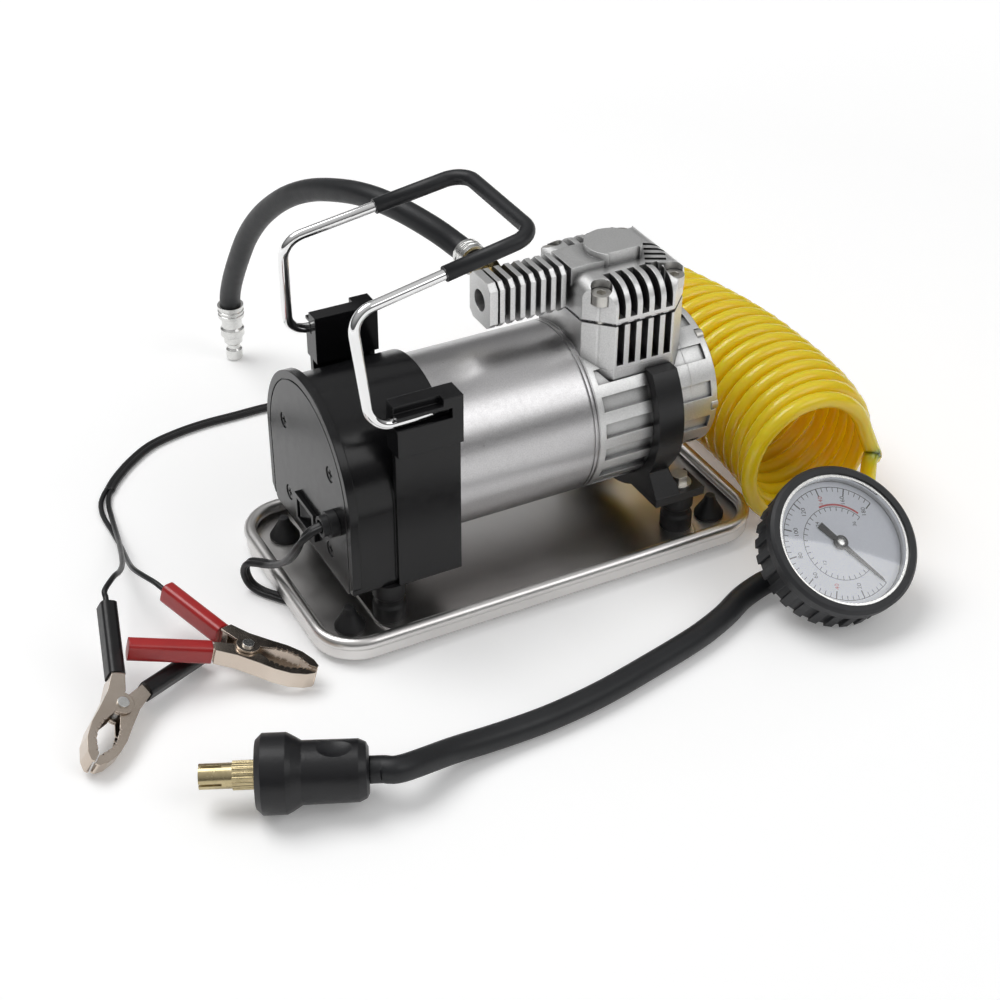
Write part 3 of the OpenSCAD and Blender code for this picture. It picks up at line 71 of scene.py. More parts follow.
# ---------------------------------------------------------------- leader hose
# A smooth black rubber hose from the pump's outlet, which falls in one bend to the
# floor. A crimped steel collar holds it at each end, and it ends in a push-in plug.
class Wire:
    """A socket of a shader's nodes. Sums, products and powers of wires add Math nodes."""

    def __init__(self, tree, socket):
        self.tree = tree
        self.socket = socket

    def node(self, kind, sockets, out=0, stops=(), **settings):
        """Adds a node with its settings and sockets, and gives its output as a wire."""
        made = self.tree.nodes.new("ShaderNode" + kind)
        for name, value in settings.items():
            setattr(made, name, value)
        for place, colour in stops[1:-1]:
            made.color_ramp.elements.new(place)
        for element, (place, colour) in zip(made.color_ramp.elements if stops else (), stops):
            element.position = place
            element.color = (*colour, 1)
        for key, value in sockets.items():
            target = made.inputs[key] if isinstance(key, int) else next(
                s for s in made.inputs if key in (s.identifier, s.name))
            if isinstance(value, Wire):
                self.tree.links.new(value.socket, target)
            else:
                target.default_value = value
        return Wire(self.tree, made.outputs[out])

    def maths(self, operation, a, b):
        return self.node("Math", {0: a, 1: b}, operation=operation)

    def __add__(self, other):
        return self.maths("ADD", self, other)

    def __radd__(self, other):
        return self.maths("ADD", other, self)

    def __mul__(self, other):
        return self.maths("MULTIPLY", self, other)

    def __rmul__(self, other):
        return self.maths("MULTIPLY", other, self)

    def __pow__(self, other):
        return self.maths("POWER", self, other)

    def part(self, axis):
        return self.node("SeparateXYZ", {0: self}, out=axis)

    def scaled(self, x, y, z):
        return self.node("VectorMath", {0: self, 1: (x, y, z)}, operation="MULTIPLY")

    def noise(self, scale, detail, rough=0.5):
        sockets = {"Vector": self, "Scale": scale, "Detail": detail, "Roughness": rough}
        return self.node("TexNoise", sockets)

    def between(self, low, high):
        """Rises from 0 at low to 1 at high, and stays there."""
        return self.node("MapRange", {"Value": self, "From Min": low, "From Max": high}, clamp=True)

    def mixed(self, first, second):
        """The first colour where the wire is 0, the second where it is 1."""
        first, second = ((*c, 1) if isinstance(c, tuple) else c for c in (first, second))
        return self.node("Mix", {"Factor_Float": self, "A_Color": first, "B_Color": second},
                         out=2, data_type="RGBA")


class Finish(Wire):
    """A material with one Principled shader, whose sockets are set by name."""

    def __init__(self, name, **plain):
        self.material = bpy.data.materials.new(name)
        self.material.use_nodes = True
        self.tree = self.material.node_tree
        self.shader = self.tree.nodes["Principled BSDF"]
        for key, value in plain.items():
            self[key.replace("_", " ")] = value
        self.place = self.node("TexCoord", {}, out=3)

    def __setitem__(self, key, value):
        target = self.shader.inputs[key]
        if isinstance(value, Wire):
            self.tree.links.new(value.socket, target)
        else:
            target.default_value = (*value, 1) if target.type == "RGBA" else value

    def toned(self, scale, detail, dark, light):
        """A base colour that drifts between two tones."""
        self["Base Color"] = self.place.noise(scale, detail).mixed(dark, light)

    def worn(self, smoothest, spread, scale, detail):
        """A roughness that drifts up from the smoothest value by the spread."""
        self["Roughness"] = smoothest + spread * self.place.noise(scale, detail)

    def soft_edge(self, radius):
        return self.node("Bevel", {"Radius": radius}, samples=6)

    def bumped(self, height, depth, edge=0.0):
        """A relief of the given depth, over edges that look rounded."""
        sockets = {"Height": height, "Distance": depth, "Strength": 1.0}
        if edge > 0:
            sockets["Normal"] = self.soft_edge(edge)
        self["Normal"] = self.node("Bump", sockets)

    def rolled(self, edge):
        self["Normal"] = self.soft_edge(edge)


def dress(finish, *names):
    """Gives the finish to solids of the model, by name."""
    for name in names:
        for slot in solids[name].material_slots:
            slot.material = finish.material


def smooth(points, steps):
    """A smooth route through the points, with the given steps from each to the next."""
    route = []
    for i in range(len(points) - 1):
        a, b, c, d = (Vector(points[min(max(i + k, 0), len(points) - 1)]) for k in (-1, 0, 1, 2))
        for j in range(steps):
            t = j / steps
            route.append((2 * b + (c - a) * t + (2 * a - 5 * b + 4 * c - d) * t ** 2
                          + (3 * b - a - 3 * c + d) * t ** 3) / 2)
    return route + [Vector(points[-1])]


def shown(name, mesh):
    """Puts a mesh or a text into the scene as a piece."""
    piece = bpy.data.objects.new(name, mesh)
    bpy.context.scene.collection.objects.link(piece)
    return piece


def built(name, bm, finish):
    """Closes the work on a mesh and shows it in its finish."""
    mesh = bpy.data.meshes.new(name)
    bm.to_mesh(mesh)
    bm.free()
    mesh.materials.append(finish.material)
    return shown(name, mesh)


def band(bm, ring, following, rounded):
    """Joins two rings of points with a band of faces."""
    for k in range(len(ring)):
        m = (k + 1) % len(ring)
        bm.faces.new((ring[k], ring[m], following[m], following[k])).smooth = rounded


def sleeved(name, route, outline, finish, level_width=False, bore=()):
    """A closed tube whose outline, and bore if it has one, follow the route in millimetres.

    A level width stays parallel to the floor, but for runs that are nearly upright.
    """
    least_lean = 0.25
    bm = bmesh.new()
    rings, bores = [], []
    across = Vector((0, 0, 1))
    for i, p in enumerate(route):
        ahead = (route[min(i + 1, len(route) - 1)] - route[max(i - 1, 0)]).normalized()
        level = Vector((0, 0, 1)).cross(ahead)
        if level_width and (i == 0 or level.length >= least_lean):
            across = level.normalized() * (-1 if i > 0 and level.dot(across) < 0 else 1)
        else:
            across = (across - across.dot(ahead) * ahead).normalized()
        up = ahead.cross(across)
        rings.append([bm.verts.new((p + across * u + up * v) / 1000) for u, v in outline])
        bores.append([bm.verts.new((p + across * u + up * v) / 1000) for u, v in bore])
    for ring, following in zip(rings, rings[1:]):
        band(bm, ring, following, True)
    if bore:
        for ring, following in zip(bores, bores[1:]):
            band(bm, following, ring, True)
        band(bm, bores[0], rings[0], False)
        band(bm, rings[-1], bores[-1], False)
    else:
        bm.faces.new(rings[0][::-1])
        bm.faces.new(rings[-1])
    return built(name, bm, finish)


def ring_of(radius, sides):
    """The corners of a round outline."""
    return [(radius * math.cos(2 * math.pi * k / sides), radius * math.sin(2 * math.pi * k / sides))
            for k in range(sides)]


hose_rubber = Finish("hose_rubber", Specular_IOR_Level=0.4)
hose_rubber.toned(60, 4, (0.007, 0.0075, 0.009), (0.017, 0.018, 0.02))
hose_rubber.worn(0.34, 0.2, 220, 3)
hose_rubber.bumped(hose_rubber.place.noise(900, 3), 0.00006)
hose_r = 5.5
hose_sides = 28
leader_points = [
    (0, 24, 134.5), (0, 28, 134.5), (0, 32, 134.5), (-2, 39, 136), (-8, 50, 140.5), (-17, 66, 145),
    (-24, 84, 145), (-30, 103, 141), (-36, 125, 133), (-42, 144, 122), (-47, 163, 106),
    (-50, 179, 88), (-51.5, 192, 69), (-52, 203, 52), (-52, 209, 41), (-52, 211, 34), (-52, 211, 30),
    (-52, 211, 26),
]
leader_route = smooth(leader_points, steps=6)
leader = sleeved("leader_tube", leader_route, ring_of(hose_r, hose_sides), hose_rubber)
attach(leader, "inflator")
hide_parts("leader_hose")
[p / 1000 for p in leader_route]

bright_steel = Finish("bright_steel", Metallic=1.0)
streak = bright_steel.place.noise(700, 3)
bright_steel["Base Color"] = streak.mixed((0.60, 0.60, 0.59), (0.84, 0.84, 0.82))
bright_steel.worn(0.16, 0.16, 150, 3)
bright_steel.bumped(streak, 0.00003, 0.0003)
dress(bright_steel, "hose_ferrules", "quick_plug", "recoil_coupler", "coupler_sleeve")

# ---------------------------------------------------------------- recoil hose
# A yellow polyurethane tube set in upright loops, which stand in a curved row behind the
# end of the tray. One end comes down to the gauge's tee, the other carries the socket.
recoil_urethane = Finish("recoil_urethane", Roughness=0.22, Subsurface_Weight=1.0, Subsurface_Scale=0.03,
                         Subsurface_Radius=(1.0, 0.62, 0.06), Coat_Weight=0.2, Coat_Roughness=0.1)
cloud = recoil_urethane.place.noise(35, 4)
recoil_urethane["Base Color"] = cloud.mixed((0.92, 0.50, 0.008), (0.99, 0.60, 0.015))
recoil_urethane.bumped(recoil_urethane.place.noise(260, 2), 0.00008)
coil_row = [
    (-60, 131), (-50, 137), (-40, 140), (-30, 142), (-15, 143.5), (0, 144), (20, 144), (40, 142),
    (60, 138), (80, 133), (100, 128), (120, 122), (150, 113),
]
coil_r = 32.5
coil_pitch = 9.2
coil_turns = 16.75
coil_start = -59
coil_start_angle = 18
coil_steps = 36
coil_end_run = 9.12
tube_r = 3.8
tube_sink = 0.98
tube_sides = 14


def row_x(y):
    """How far back the row of loops stands at y."""
    for (y0, x0), (y1, x1) in zip(coil_row, coil_row[1:]):
        if y <= y1:
            return x0 + (x1 - x0) * (y - y0) / (y1 - y0)


def loop_point(turn):
    """The tube's middle after so many turns. Each loop rests on the floor."""
    angle = math.radians(coil_start_angle + 360 * turn)
    y = coil_start + coil_pitch * turn
    return Vector((row_x(y) + coil_r * math.cos(angle), y,
                   coil_r + tube_r * tube_sink + coil_r * math.sin(angle)))


coil_body = [loop_point(i / coil_steps) for i in range(int(coil_turns * coil_steps) + 1)]
end_step = 1 / 24
first_way = (loop_point(0) - loop_point(end_step)).normalized()
last_way = (loop_point(coil_turns) - loop_point(coil_turns - end_step)).normalized()
coil_route = [coil_body[0] + first_way * coil_end_run, *coil_body,
              coil_body[-1] + last_way * coil_end_run]
tee_place = Vector((110.6, -95.76, 7.3))
tail_points = [
    tee_place + Vector((12, 0, 0)), tee_place + Vector((18, 0, 0)), tee_place + Vector((24, 0, 0)),
    (144, -91.5, 5.8), (152, -81, 6.5), (158, -72, 11), (163, -66, 20), (166, -62, 30),
    coil_route[0] + first_way * 10, coil_route[0] + first_way * 5, coil_route[0],
]
tail_route = smooth(tail_points, steps=5)
recoil_route = tail_route[:-1] + coil_route
recoil = sleeved("recoil_tube", recoil_route, ring_of(tube_r, tube_sides), recoil_urethane)
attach(recoil, "inflator")
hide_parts("recoil_hose", "recoil_tail")
tuple(tail_route[0] / 1000)
[p / 1000 for p in recoil_route]

# ---------------------------------------------------------------- whip hose and chuck
# A short black rubber hose from the gauge's tee, which lies on the floor and ends in a
# moulded rubber grip with a knurled brass end that clips on a tire valve.
chuck_tip = Vector((-187, -106.6, 16.1))
chuck_turn = math.radians(-23.8)
chuck_way = Vector((math.cos(chuck_turn), math.sin(chuck_turn), 0))
whip_points = [
    tee_place - Vector((12, 0, 0)), tee_place - Vector((19, 0, 0)), tee_place - Vector((26, 0, 0)),
    (71, -99, 6), (57, -106, 5.8), (38, -113, 5.7), (10, -120, 5.7), (-18, -126, 5.7),
    (-44, -129, 5.7), (-68, -130, 6.5), (-90, -132, 9.5),
    chuck_tip + chuck_way * 79, chuck_tip + chuck_way * 71, chuck_tip + chuck_way * 66,
]
whip_route = smooth(whip_points, steps=6)
whip = sleeved("whip_tube", whip_route, ring_of(hose_r, hose_sides), hose_rubber)
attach(whip, "inflator")
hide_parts("whip_hose")
tuple(whip_route[0] / 1000)
[p / 1000 for p in whip_route]

grip_moulding = Finish("grip_moulding", Specular_IOR_Level=0.4)
grip_moulding.toned(80, 3, (0.005, 0.005, 0.006), (0.013, 0.013, 0.015))
grip_moulding.worn(0.24, 0.22, 300, 4)
grip_moulding.bumped(grip_moulding.place.noise(1100, 2), 0.00005, 0.0006)
dress(grip_moulding, "chuck_grip")

turned_brass = Finish("turned_brass", Metallic=1.0)
turned_brass.toned(300, 3, (0.40, 0.33, 0.18), (0.64, 0.54, 0.33))
turned_brass.worn(0.14, 0.2, 500, 3)
turned_brass.rolled(0.0003)
dress(turned_brass, "chuck_nut", "gauge_tee", "outlet_fitting")

# ---------------------------------------------------------------- power cord
# A flat twin cord with black vinyl insulation. It leaves the strain relief, passes under
# the unit's front, lies put away in flat loops behind it and comes back on the far side.
cord_vinyl = Finish("cord_vinyl", Specular_IOR_Level=0.4)
cord_vinyl.toned(90, 3, (0.004, 0.004, 0.005), (0.012, 0.012, 0.013))
cord_vinyl.worn(0.26, 0.2, 400, 3)
cord_vinyl.bumped(cord_vinyl.place.noise(700, 2), 0.00004)
cord_z = 1.65
exit_points = [
    (-98, -29.5, 57.5), (-99.5, -29.5, 57.5), (-101, -29.5, 57.5), (-105, -29, 56),
    (-108.8, -27.8, 52), (-110.8, -24.5, 45), (-111.6, -18, 36.5), (-112, -10, 29), (-112.4, -2, 23),
    (-113.8, 4.5, 19.3), (-116.5, 9.8, 17.6), (-119.5, 14.6, 15.3), (-120.7, 16.6, 9.7),
    (-119.5, 14.6, 4), (-116.5, 9.8, cord_z), (-112, 3, cord_z), (-106, -4, cord_z), (-97, -7, cord_z),
    (-87, -2, cord_z), (-76, 10, cord_z), (-62, 27, cord_z), (-42, 46, cord_z), (-20, 60, cord_z),
    (0, 65, cord_z),
]
loops_centre = (30, 100)
loops_r = 34
loops_turns = 5.5
loops_pitch = 6.2
loops_lift = 3.4
loops_steps = 24
loops_end_run = Vector((6, 0, 0))
loops_lead_in = Vector((8, 0, 0))


def put_away(turn):
    """A point of the loops, wound in on the floor and out again on top of themselves."""
    middle = loops_turns / 2
    spread = abs(turn - middle)
    r = loops_r + (max(0, min(2 * spread - 0.5, spread + 0.25)) - (middle + 0.25)) * loops_pitch
    climb = min(max((turn - (middle - 0.25)) / 0.5, 0), 1)
    angle = math.radians(360 * turn - 90)
    return Vector((loops_centre[0] + r * math.cos(angle), loops_centre[1] + r * math.sin(angle),
                   cord_z + loops_lift * climb))


loops = [put_away(i / loops_steps) for i in range(int(loops_turns * loops_steps) + 1)]
loops_route = [loops[0] - loops_end_run, *loops, loops[-1] - loops_end_run]
exit_route = smooth(exit_points + [loops_route[0] - loops_lead_in, loops_route[0]], steps=5)
rear_points = [
    loops_route[-1], loops_route[-1] - loops_lead_in, (0, 136, cord_z + 3), (-14, 142, cord_z),
    (-34, 150, cord_z), (-56, 153, cord_z), (-74, 153, cord_z), (-90, 153, cord_z), (-106, 151, cord_z),
    (-122, 146, cord_z), (-136, 136, cord_z), (-147, 125, cord_z), (-153, 117, cord_z),
]
rear_route = smooth(rear_points, steps=5)
cord_route = exit_route[:-1] + loops_route[:-1] + rear_route
core_offset = 1.25
core_r = 1.45
groove_angle = 144
outline_step = 32
twin_outline = [(core_offset + core_r * math.cos(math.radians(a)), core_r * math.sin(math.radians(a)))
                for a in range(-groove_angle, groove_angle + 1, outline_step)]
twin_outline += [(-u, -v) for u, v in twin_outline]
cord = sleeved("twin_cord", cord_route, twin_outline, cord_vinyl, level_width=True)
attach(cord, "inflator")
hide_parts("power_cord", "power_cord_coil", "power_cord_rear")
[p / 1000 for p in cord_route]

# ---------------------------------------------------------------- clamp leads
# The twin cord is pulled apart into two single leads. Each one climbs a little and runs
# into the soft grip of its clamp.
split_end = rear_route[-1]
split_way = (Vector(rear_points[-1]) - Vector(rear_points[-2])).normalized()
split_gap = 1.4
split_side = Vector((0, 0, 1)).cross(split_way) * split_gap
lead_r = 1.25
lead_sides = 12
lead_z = 1.55
handle_spread = 27
grip_reaches = (58, 54, 50)


def laid(lay, point):
    """A point of a clamp's frame, pin along Z and handles toward +X, where the clamp lies."""
    place, turn, rise, roll = lay
    way = (Matrix.Rotation(math.radians(turn), 3, "Z") @ Matrix.Rotation(-math.radians(rise), 3, "Y")
           @ Matrix.Rotation(math.radians(roll), 3, "X"))
    return Vector(place) + way @ Vector(point)


red_lay = ((-142.5, -41.5, 12.8), 139, 13, 6)
black_lay = ((-201, -49, 11.4), 51, 8, 30)


def into_grip(lay, side):
    """The last points of a lead, straight into the end of the grip on that side."""
    a = math.radians(handle_spread * side)
    return [laid(lay, (reach * math.cos(a), reach * math.sin(a), 0)) for reach in grip_reaches]


red_points = [split_end - split_side, split_end - split_side + split_way * 4,
              (-160, 108, lead_z), (-162, 98, lead_z), (-162, 84, lead_z), (-163, 66, 4),
              (-165.5, 48, 10), (-167.5, 32, 17), (-166.5, 21, 20.5), *into_grip(red_lay, -1)]
black_points = [split_end + split_side, split_end + split_side + split_way * 4,
                (-157, 105, lead_z), (-159, 94, 2.8), (-161.5, 80, 5.5), (-164, 66, 9),
                (-167, 52, 14), (-169.5, 41, 18), (-172.5, 30, 22), (-176.5, 20, 26.5),
                (-181, 12.5, 30.5), *into_grip(black_lay, 1)]
for lead_name, points, lead_length, pieces in (
    ("red_lead", red_points, 0.120, ("red_clamp_jaw", "red_grip_fixed", "red_grip_moving")),
    ("black_lead", black_points, 0.133,
     ("black_clamp_jaw", "black_grip_fixed", "black_grip_moving", "clamp_lower_jaws")),
):
    route = smooth(points, steps=6)
    lead = sleeved(lead_name + "_wire", route, ring_of(lead_r, lead_sides), cord_vinyl)
    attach(lead, "inflator")
    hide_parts(lead_name)
    tuple(route[0] / 1000)
    [p / 1000 for p in route]

# ---------------------------------------------------------------- battery clamps
# Two spring clamps of pressed, nickel plated sheet with toothed jaws, riveted pins and
# soft vinyl grips pushed over their handles, red for one and black for the other.
jaw_plate = Finish("jaw_plate", Metallic=1.0)
jaw_plate.toned(45, 4, (0.46, 0.38, 0.31), (0.74, 0.66, 0.58))
jaw_plate.worn(0.14, 0.16, 160, 3)
jaw_plate.rolled(0.0003)
dress(jaw_plate, "clamp_lower_jaws", "red_clamp_jaw", "black_clamp_jaw")
dress(bright_steel, "clamp_pivots")
red_vinyl = Finish("red_vinyl", Roughness=0.3, Coat_Weight=0.3, Coat_Roughness=0.2)
red_vinyl.toned(120, 3, (0.30, 0.006, 0.008), (0.48, 0.013, 0.013))
red_vinyl.bumped(red_vinyl.place.noise(500, 2), 0.00008, 0.001)
dress(red_vinyl, "red_grip_fixed", "red_grip_moving")
dress(cord_vinyl, "black_grip_fixed", "black_grip_moving")

# ---------------------------------------------------------------- gauge
# A dial gauge in a toothed black rubber boot. The printed dial lies under a clear lens
# in a bright rolled bezel.
gauge_rubber = Finish("gauge_rubber")
gauge_rubber.toned(70, 4, (0.009, 0.0095, 0.011), (0.022, 0.023, 0.026))
gauge_rubber.worn(0.4, 0.2, 300, 3)
gauge_rubber.bumped(gauge_rubber.place.noise(900, 2), 0.00006, 0.0007)
dress(gauge_rubber, "gauge_boot")
dress(bright_steel, "gauge_case")
dial_face = Finish("dial_face", Roughness=0.35)
dial_face.toned(900, 2, (0.76, 0.79, 0.87), (0.84, 0.87, 0.93))
dress(dial_face, "gauge_dial")
gauge_tilt = math.radians(35)
gauge_pose = Matrix.Translation((0.1106, -0.102, 0.01621)) @ Matrix.Rotation(gauge_tilt, 4, "X")
dial_top = 0.02004
ink_height = 0.02


def printed(name, corners, finish):
    """A thin closed layer of ink over the corners, in millimetres."""
    bm = bmesh.new()
    low = [bm.verts.new((x / 1000, y / 1000, 0)) for x, y in corners]
    high = [bm.verts.new((x / 1000, y / 1000, ink_height / 1000)) for x, y in corners]
    bm.faces.new(low[::-1])
    bm.faces.new(high)
    band(bm, low, high, False)
    return built(name, bm, finish)


class Repeat:
    """A Geometry Nodes tree that sets copies of a piece round its Z axis at even steps."""

    def __init__(self):
        self.tree = bpy.data.node_groups.new("copies_round_axis", "GeometryNodeTree")
        face = self.tree.interface
        self.sockets = {}
        for name, kind in (("Piece", "Geometry"), ("Count", "Int"), ("Step", "Float"), ("Start", "Float"),
                           ("Material", "Material")):
            socket = face.new_socket(name, in_out="INPUT", socket_type="NodeSocket" + kind)
            self.sockets[name] = socket.identifier
        face.new_socket("Piece", in_out="OUTPUT", socket_type="NodeSocketGeometry")
        entry = self.tree.nodes.new("NodeGroupInput")
        leave = self.tree.nodes.new("NodeGroupOutput")
        points = self.add("GeometryNodePoints", {"Count": entry.outputs["Count"]})
        number = self.add("GeometryNodeInputIndex", {})
        turn = self.add("ShaderNodeMath", {0: number.outputs[0], 1: entry.outputs["Step"],
                                           2: entry.outputs["Start"]}, operation="MULTIPLY_ADD")
        angle = self.add("ShaderNodeCombineXYZ", {"Z": turn.outputs[0]})
        copies = self.add("GeometryNodeInstanceOnPoints", {
            "Points": points.outputs[0], "Instance": entry.outputs["Piece"], "Rotation": angle.outputs[0]})
        solid = self.add("GeometryNodeRealizeInstances", {"Geometry": copies.outputs[0]})
        dressed = self.add("GeometryNodeSetMaterial", {
            "Geometry": solid.outputs[0], "Material": entry.outputs["Material"]})
        self.tree.links.new(dressed.outputs[0], leave.inputs[0])

    def add(self, kind, sockets, **settings):
        """Adds a node with its settings and links its sockets."""
        made = self.tree.nodes.new(kind)
        for name, value in settings.items():
            setattr(made, name, value)
        for key, value in sockets.items():
            self.tree.links.new(value, made.inputs[key])
        return made

    def make(self, name, piece, count, step, start, finish, pose):
        """Bakes the copies into a plain mesh, moves it by pose and drops the single piece."""
        modifier = piece.modifiers.new("copies", "NODES")
        modifier.node_group = self.tree
        for key, value in (("Count", count), ("Step", math.radians(step)), ("Start", math.radians(start)),
                           ("Material", finish.material)):
            modifier[self.sockets[key]] = value
        graph = bpy.context.evaluated_depsgraph_get()
        mesh = bpy.data.meshes.new_from_object(piece.evaluated_get(graph))
        mesh.transform(pose)
        mesh.name = name
        made = shown(name, mesh)
        bpy.data.objects.remove(piece)
        return made


copies = Repeat()
ink_black = Finish("ink_black", Base_Color=(0.02, 0.02, 0.025), Roughness=0.45)
ink_red = Finish("ink_red", Base_Color=(0.55, 0.05, 0.05), Roughness=0.45)
on_dial = gauge_pose @ Matrix.Translation((0, 0, dial_top))
zero_angle = -61
scale_sweep = 270
upright_turn = math.radians(zero_angle + scale_sweep / 2)
red_from = 203
red_sweep = 62
line_steps = 60
dial_marks = []
for mark_name, inner, outer, width, count in (
    ("major_marks", 23.0, 26.6, 0.55, 10),
    ("minor_marks", 24.6, 26.6, 0.28, 46),
    ("inner_marks", 15.4, 17.2, 0.3, 28),
):
    half = width / 2
    mark = printed(mark_name, [(inner, -half), (outer, -half), (outer, half), (inner, half)], ink_black)
    step = -scale_sweep / (count - 1)
    dial_marks.append(copies.make(mark_name, mark, count, step, zero_angle, ink_black, on_dial))
for line_name, inner, outer, start, sweep, finish in (
    ("outer_line", 26.6, 26.9, zero_angle, -scale_sweep, ink_black),
    ("inner_line", 17.2, 17.45, zero_angle, -scale_sweep, ink_black),
    ("red_band", 17.9, 18.8, zero_angle - red_from, -red_sweep, ink_red),
):
    arc = [math.radians(start + sweep * i / line_steps) for i in range(line_steps + 1)]
    outline = [(outer * math.cos(a), outer * math.sin(a)) for a in arc]
    outline += [(inner * math.cos(a), inner * math.sin(a)) for a in reversed(arc)]
    line = printed(line_name, outline[::-1], finish)
    line.data.transform(on_dial)
    dial_marks.append(line)


def number_mesh(name, number, size, radius, angle, finish):
    """A printed number, flat and upright on the dial, at a radius in millimetres."""
    ink_relief = 0.00001
    letters = bpy.data.curves.new(name, "FONT")
    letters.body = str(number)
    letters.size = size / 1000
    letters.align_x = "CENTER"
    letters.align_y = "CENTER"
    letters.extrude = ink_relief
    flat = shown(name, letters)
    graph = bpy.context.evaluated_depsgraph_get()
    mesh = bpy.data.meshes.new_from_object(flat.evaluated_get(graph))
    bpy.data.objects.remove(flat)
    place = Vector((radius * math.cos(angle) / 1000, radius * math.sin(angle) / 1000, ink_relief))
    mesh.transform(on_dial @ Matrix.Translation(place) @ Matrix.Rotation(upright_turn, 4, "Z"))
    mesh.materials.clear()
    mesh.materials.append(finish.material)
    return shown(name, mesh)


number_count = 10
number_angle = scale_sweep / (number_count - 1)
outer_step, outer_size, outer_r = 20, 2.9, 20.9
inner_step, inner_size, inner_r = 4, 2.4, 12.8
red_numbers = (40, 140)
for i in range(number_count):
    a = math.radians(zero_angle - number_angle * i)
    number = outer_step * i
    ink = ink_red if number in red_numbers else ink_black
    dial_marks.append(number_mesh(f"number_{number}", number, outer_size, outer_r, a, ink))
    if i % 3 == 0:
        number = inner_step * i
        dial_marks.append(number_mesh(f"small_number_{number}", number, inner_size, inner_r, a, ink_black))
for mark in dial_marks:
    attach(mark, "inflator")
clear_lens = Finish("clear_lens", Base_Color=(1.0, 1.0, 1.0), Metallic=1.0, Roughness=0.02)
clear_lens["Alpha"] = 0.01 + clear_lens.node("Fresnel", {"IOR": 1.46})
dress(clear_lens, "gauge_lens")
needle_black = Finish("needle_black", Specular_IOR_Level=0.4)
needle_black.toned(700, 2, (0.004, 0.004, 0.004), (0.012, 0.012, 0.012))
needle_black.worn(0.3, 0.2, 400, 2)
dress(needle_black, "gauge_needle")


def turned(name, profile, finish, pose, sides=40):
    """A closed piece turned round the Z axis of the pose, from radius and height in millimetres."""
    bm = bmesh.new()
    rings = [[bm.verts.new(pose @ Vector((r * u / 1000, r * v / 1000, z / 1000)))
              for u, v in ring_of(1, sides)] for r, z in profile]
    for ring, following in zip(rings, rings[1:]):
        band(bm, ring, following, True)
    bm.faces.new(rings[0][::-1])
    bm.faces.new(rings[-1])
    return built(name, bm, finish)


cap_profile = [(2.2, 21.78), (2.2, 22.1), (2.0, 22.3), (1.2, 22.45), (0.5, 22.5)]
hub_cap = turned("needle_cap", cap_profile, bright_steel, gauge_pose)
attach(hub_cap, "needle")

# ---------------------------------------------------------------- tray
# A shallow tray pressed from one sheet with a rolled rim and a raised panel. It is chrome
# plated with a satin polish, and mirrors the unit softly.
tray_plate = Finish("tray_plate", Metallic=1.0)
tray_plate.toned(25, 3, (0.62, 0.605, 0.595), (0.74, 0.725, 0.71))
tray_plate.worn(0.24, 0.14, 90, 4)
tray_plate.bumped(tray_plate.place.noise(40, 2), 0.0001, 0.0008)
dress(tray_plate, "tray")

# ---------------------------------------------------------------- feet, posts and bolts
# Four black rubber feet are pulled through holes in the tray, and four turned rubber
# posts carry the unit clear of it. The bolts of the unit are zinc plated steel.
foot_rubber = Finish("foot_rubber", Roughness=0.5)
foot_rubber.toned(150, 3, (0.005, 0.005, 0.006), (0.014, 0.014, 0.015))
foot_rubber.bumped(foot_rubber.place.noise(800, 2), 0.00006, 0.0005)
dress(foot_rubber, "tray_feet", "cushion_posts", "strain_relief")
zinc = Finish("zinc", Metallic=1.0)
zinc.toned(400, 3, (0.52, 0.51, 0.48), (0.72, 0.70, 0.66))
zinc.worn(0.28, 0.18, 300, 3)
zinc.rolled(0.0003)
dress(zinc, "machine_bolts")

# ---------------------------------------------------------------- front cover
# One glossy black moulding with a domed top, two side columns and the handle's sockets.
# A flat plate with a fine step round its face closes it, held by black screws.
cover_moulding = Finish("cover_moulding", Specular_IOR_Level=0.34)
cover_moulding.toned(60, 3, (0.003, 0.003, 0.0034), (0.008, 0.008, 0.009))
cover_moulding.worn(0.14, 0.14, 200, 4)
cover_moulding.bumped(cover_moulding.place.noise(1400, 2), 0.00002, 0.0007)
dress(cover_moulding, "front_cover", "cover_screws", "switch_housing", "switch_rocker", "brush_end_cap")

# ---------------------------------------------------------------- handle
# A loop of bright steel wire held in the two sockets, with a black rubber sleeve pushed
# over its top.
handle_wire = Finish("handle_wire", Metallic=1.0)
handle_wire.toned(90, 2, (0.78, 0.78, 0.78), (0.88, 0.88, 0.88))
handle_wire.worn(0.04, 0.05, 120, 3)


def corner(a, b, c, radius=10, steps=12):
    """The points of a bend at b, between the straight runs from a and to c."""
    back, on = (a - b).normalized(), (c - b).normalized()
    half = back.angle(on) / 2
    centre = b + (back + on).normalized() * radius / math.sin(half)
    reach = radius / math.tan(half)
    chord = [(b + back * reach).lerp(b + on * reach, i / steps) for i in range(steps + 1)]
    return [centre + (p - centre).normalized() * radius for p in chord]


def both_sides(half):
    """The half of the wire on one side, and then its mirror image back again."""
    return half + [Vector((p.x, -p.y, p.z)) for p in reversed(half)]


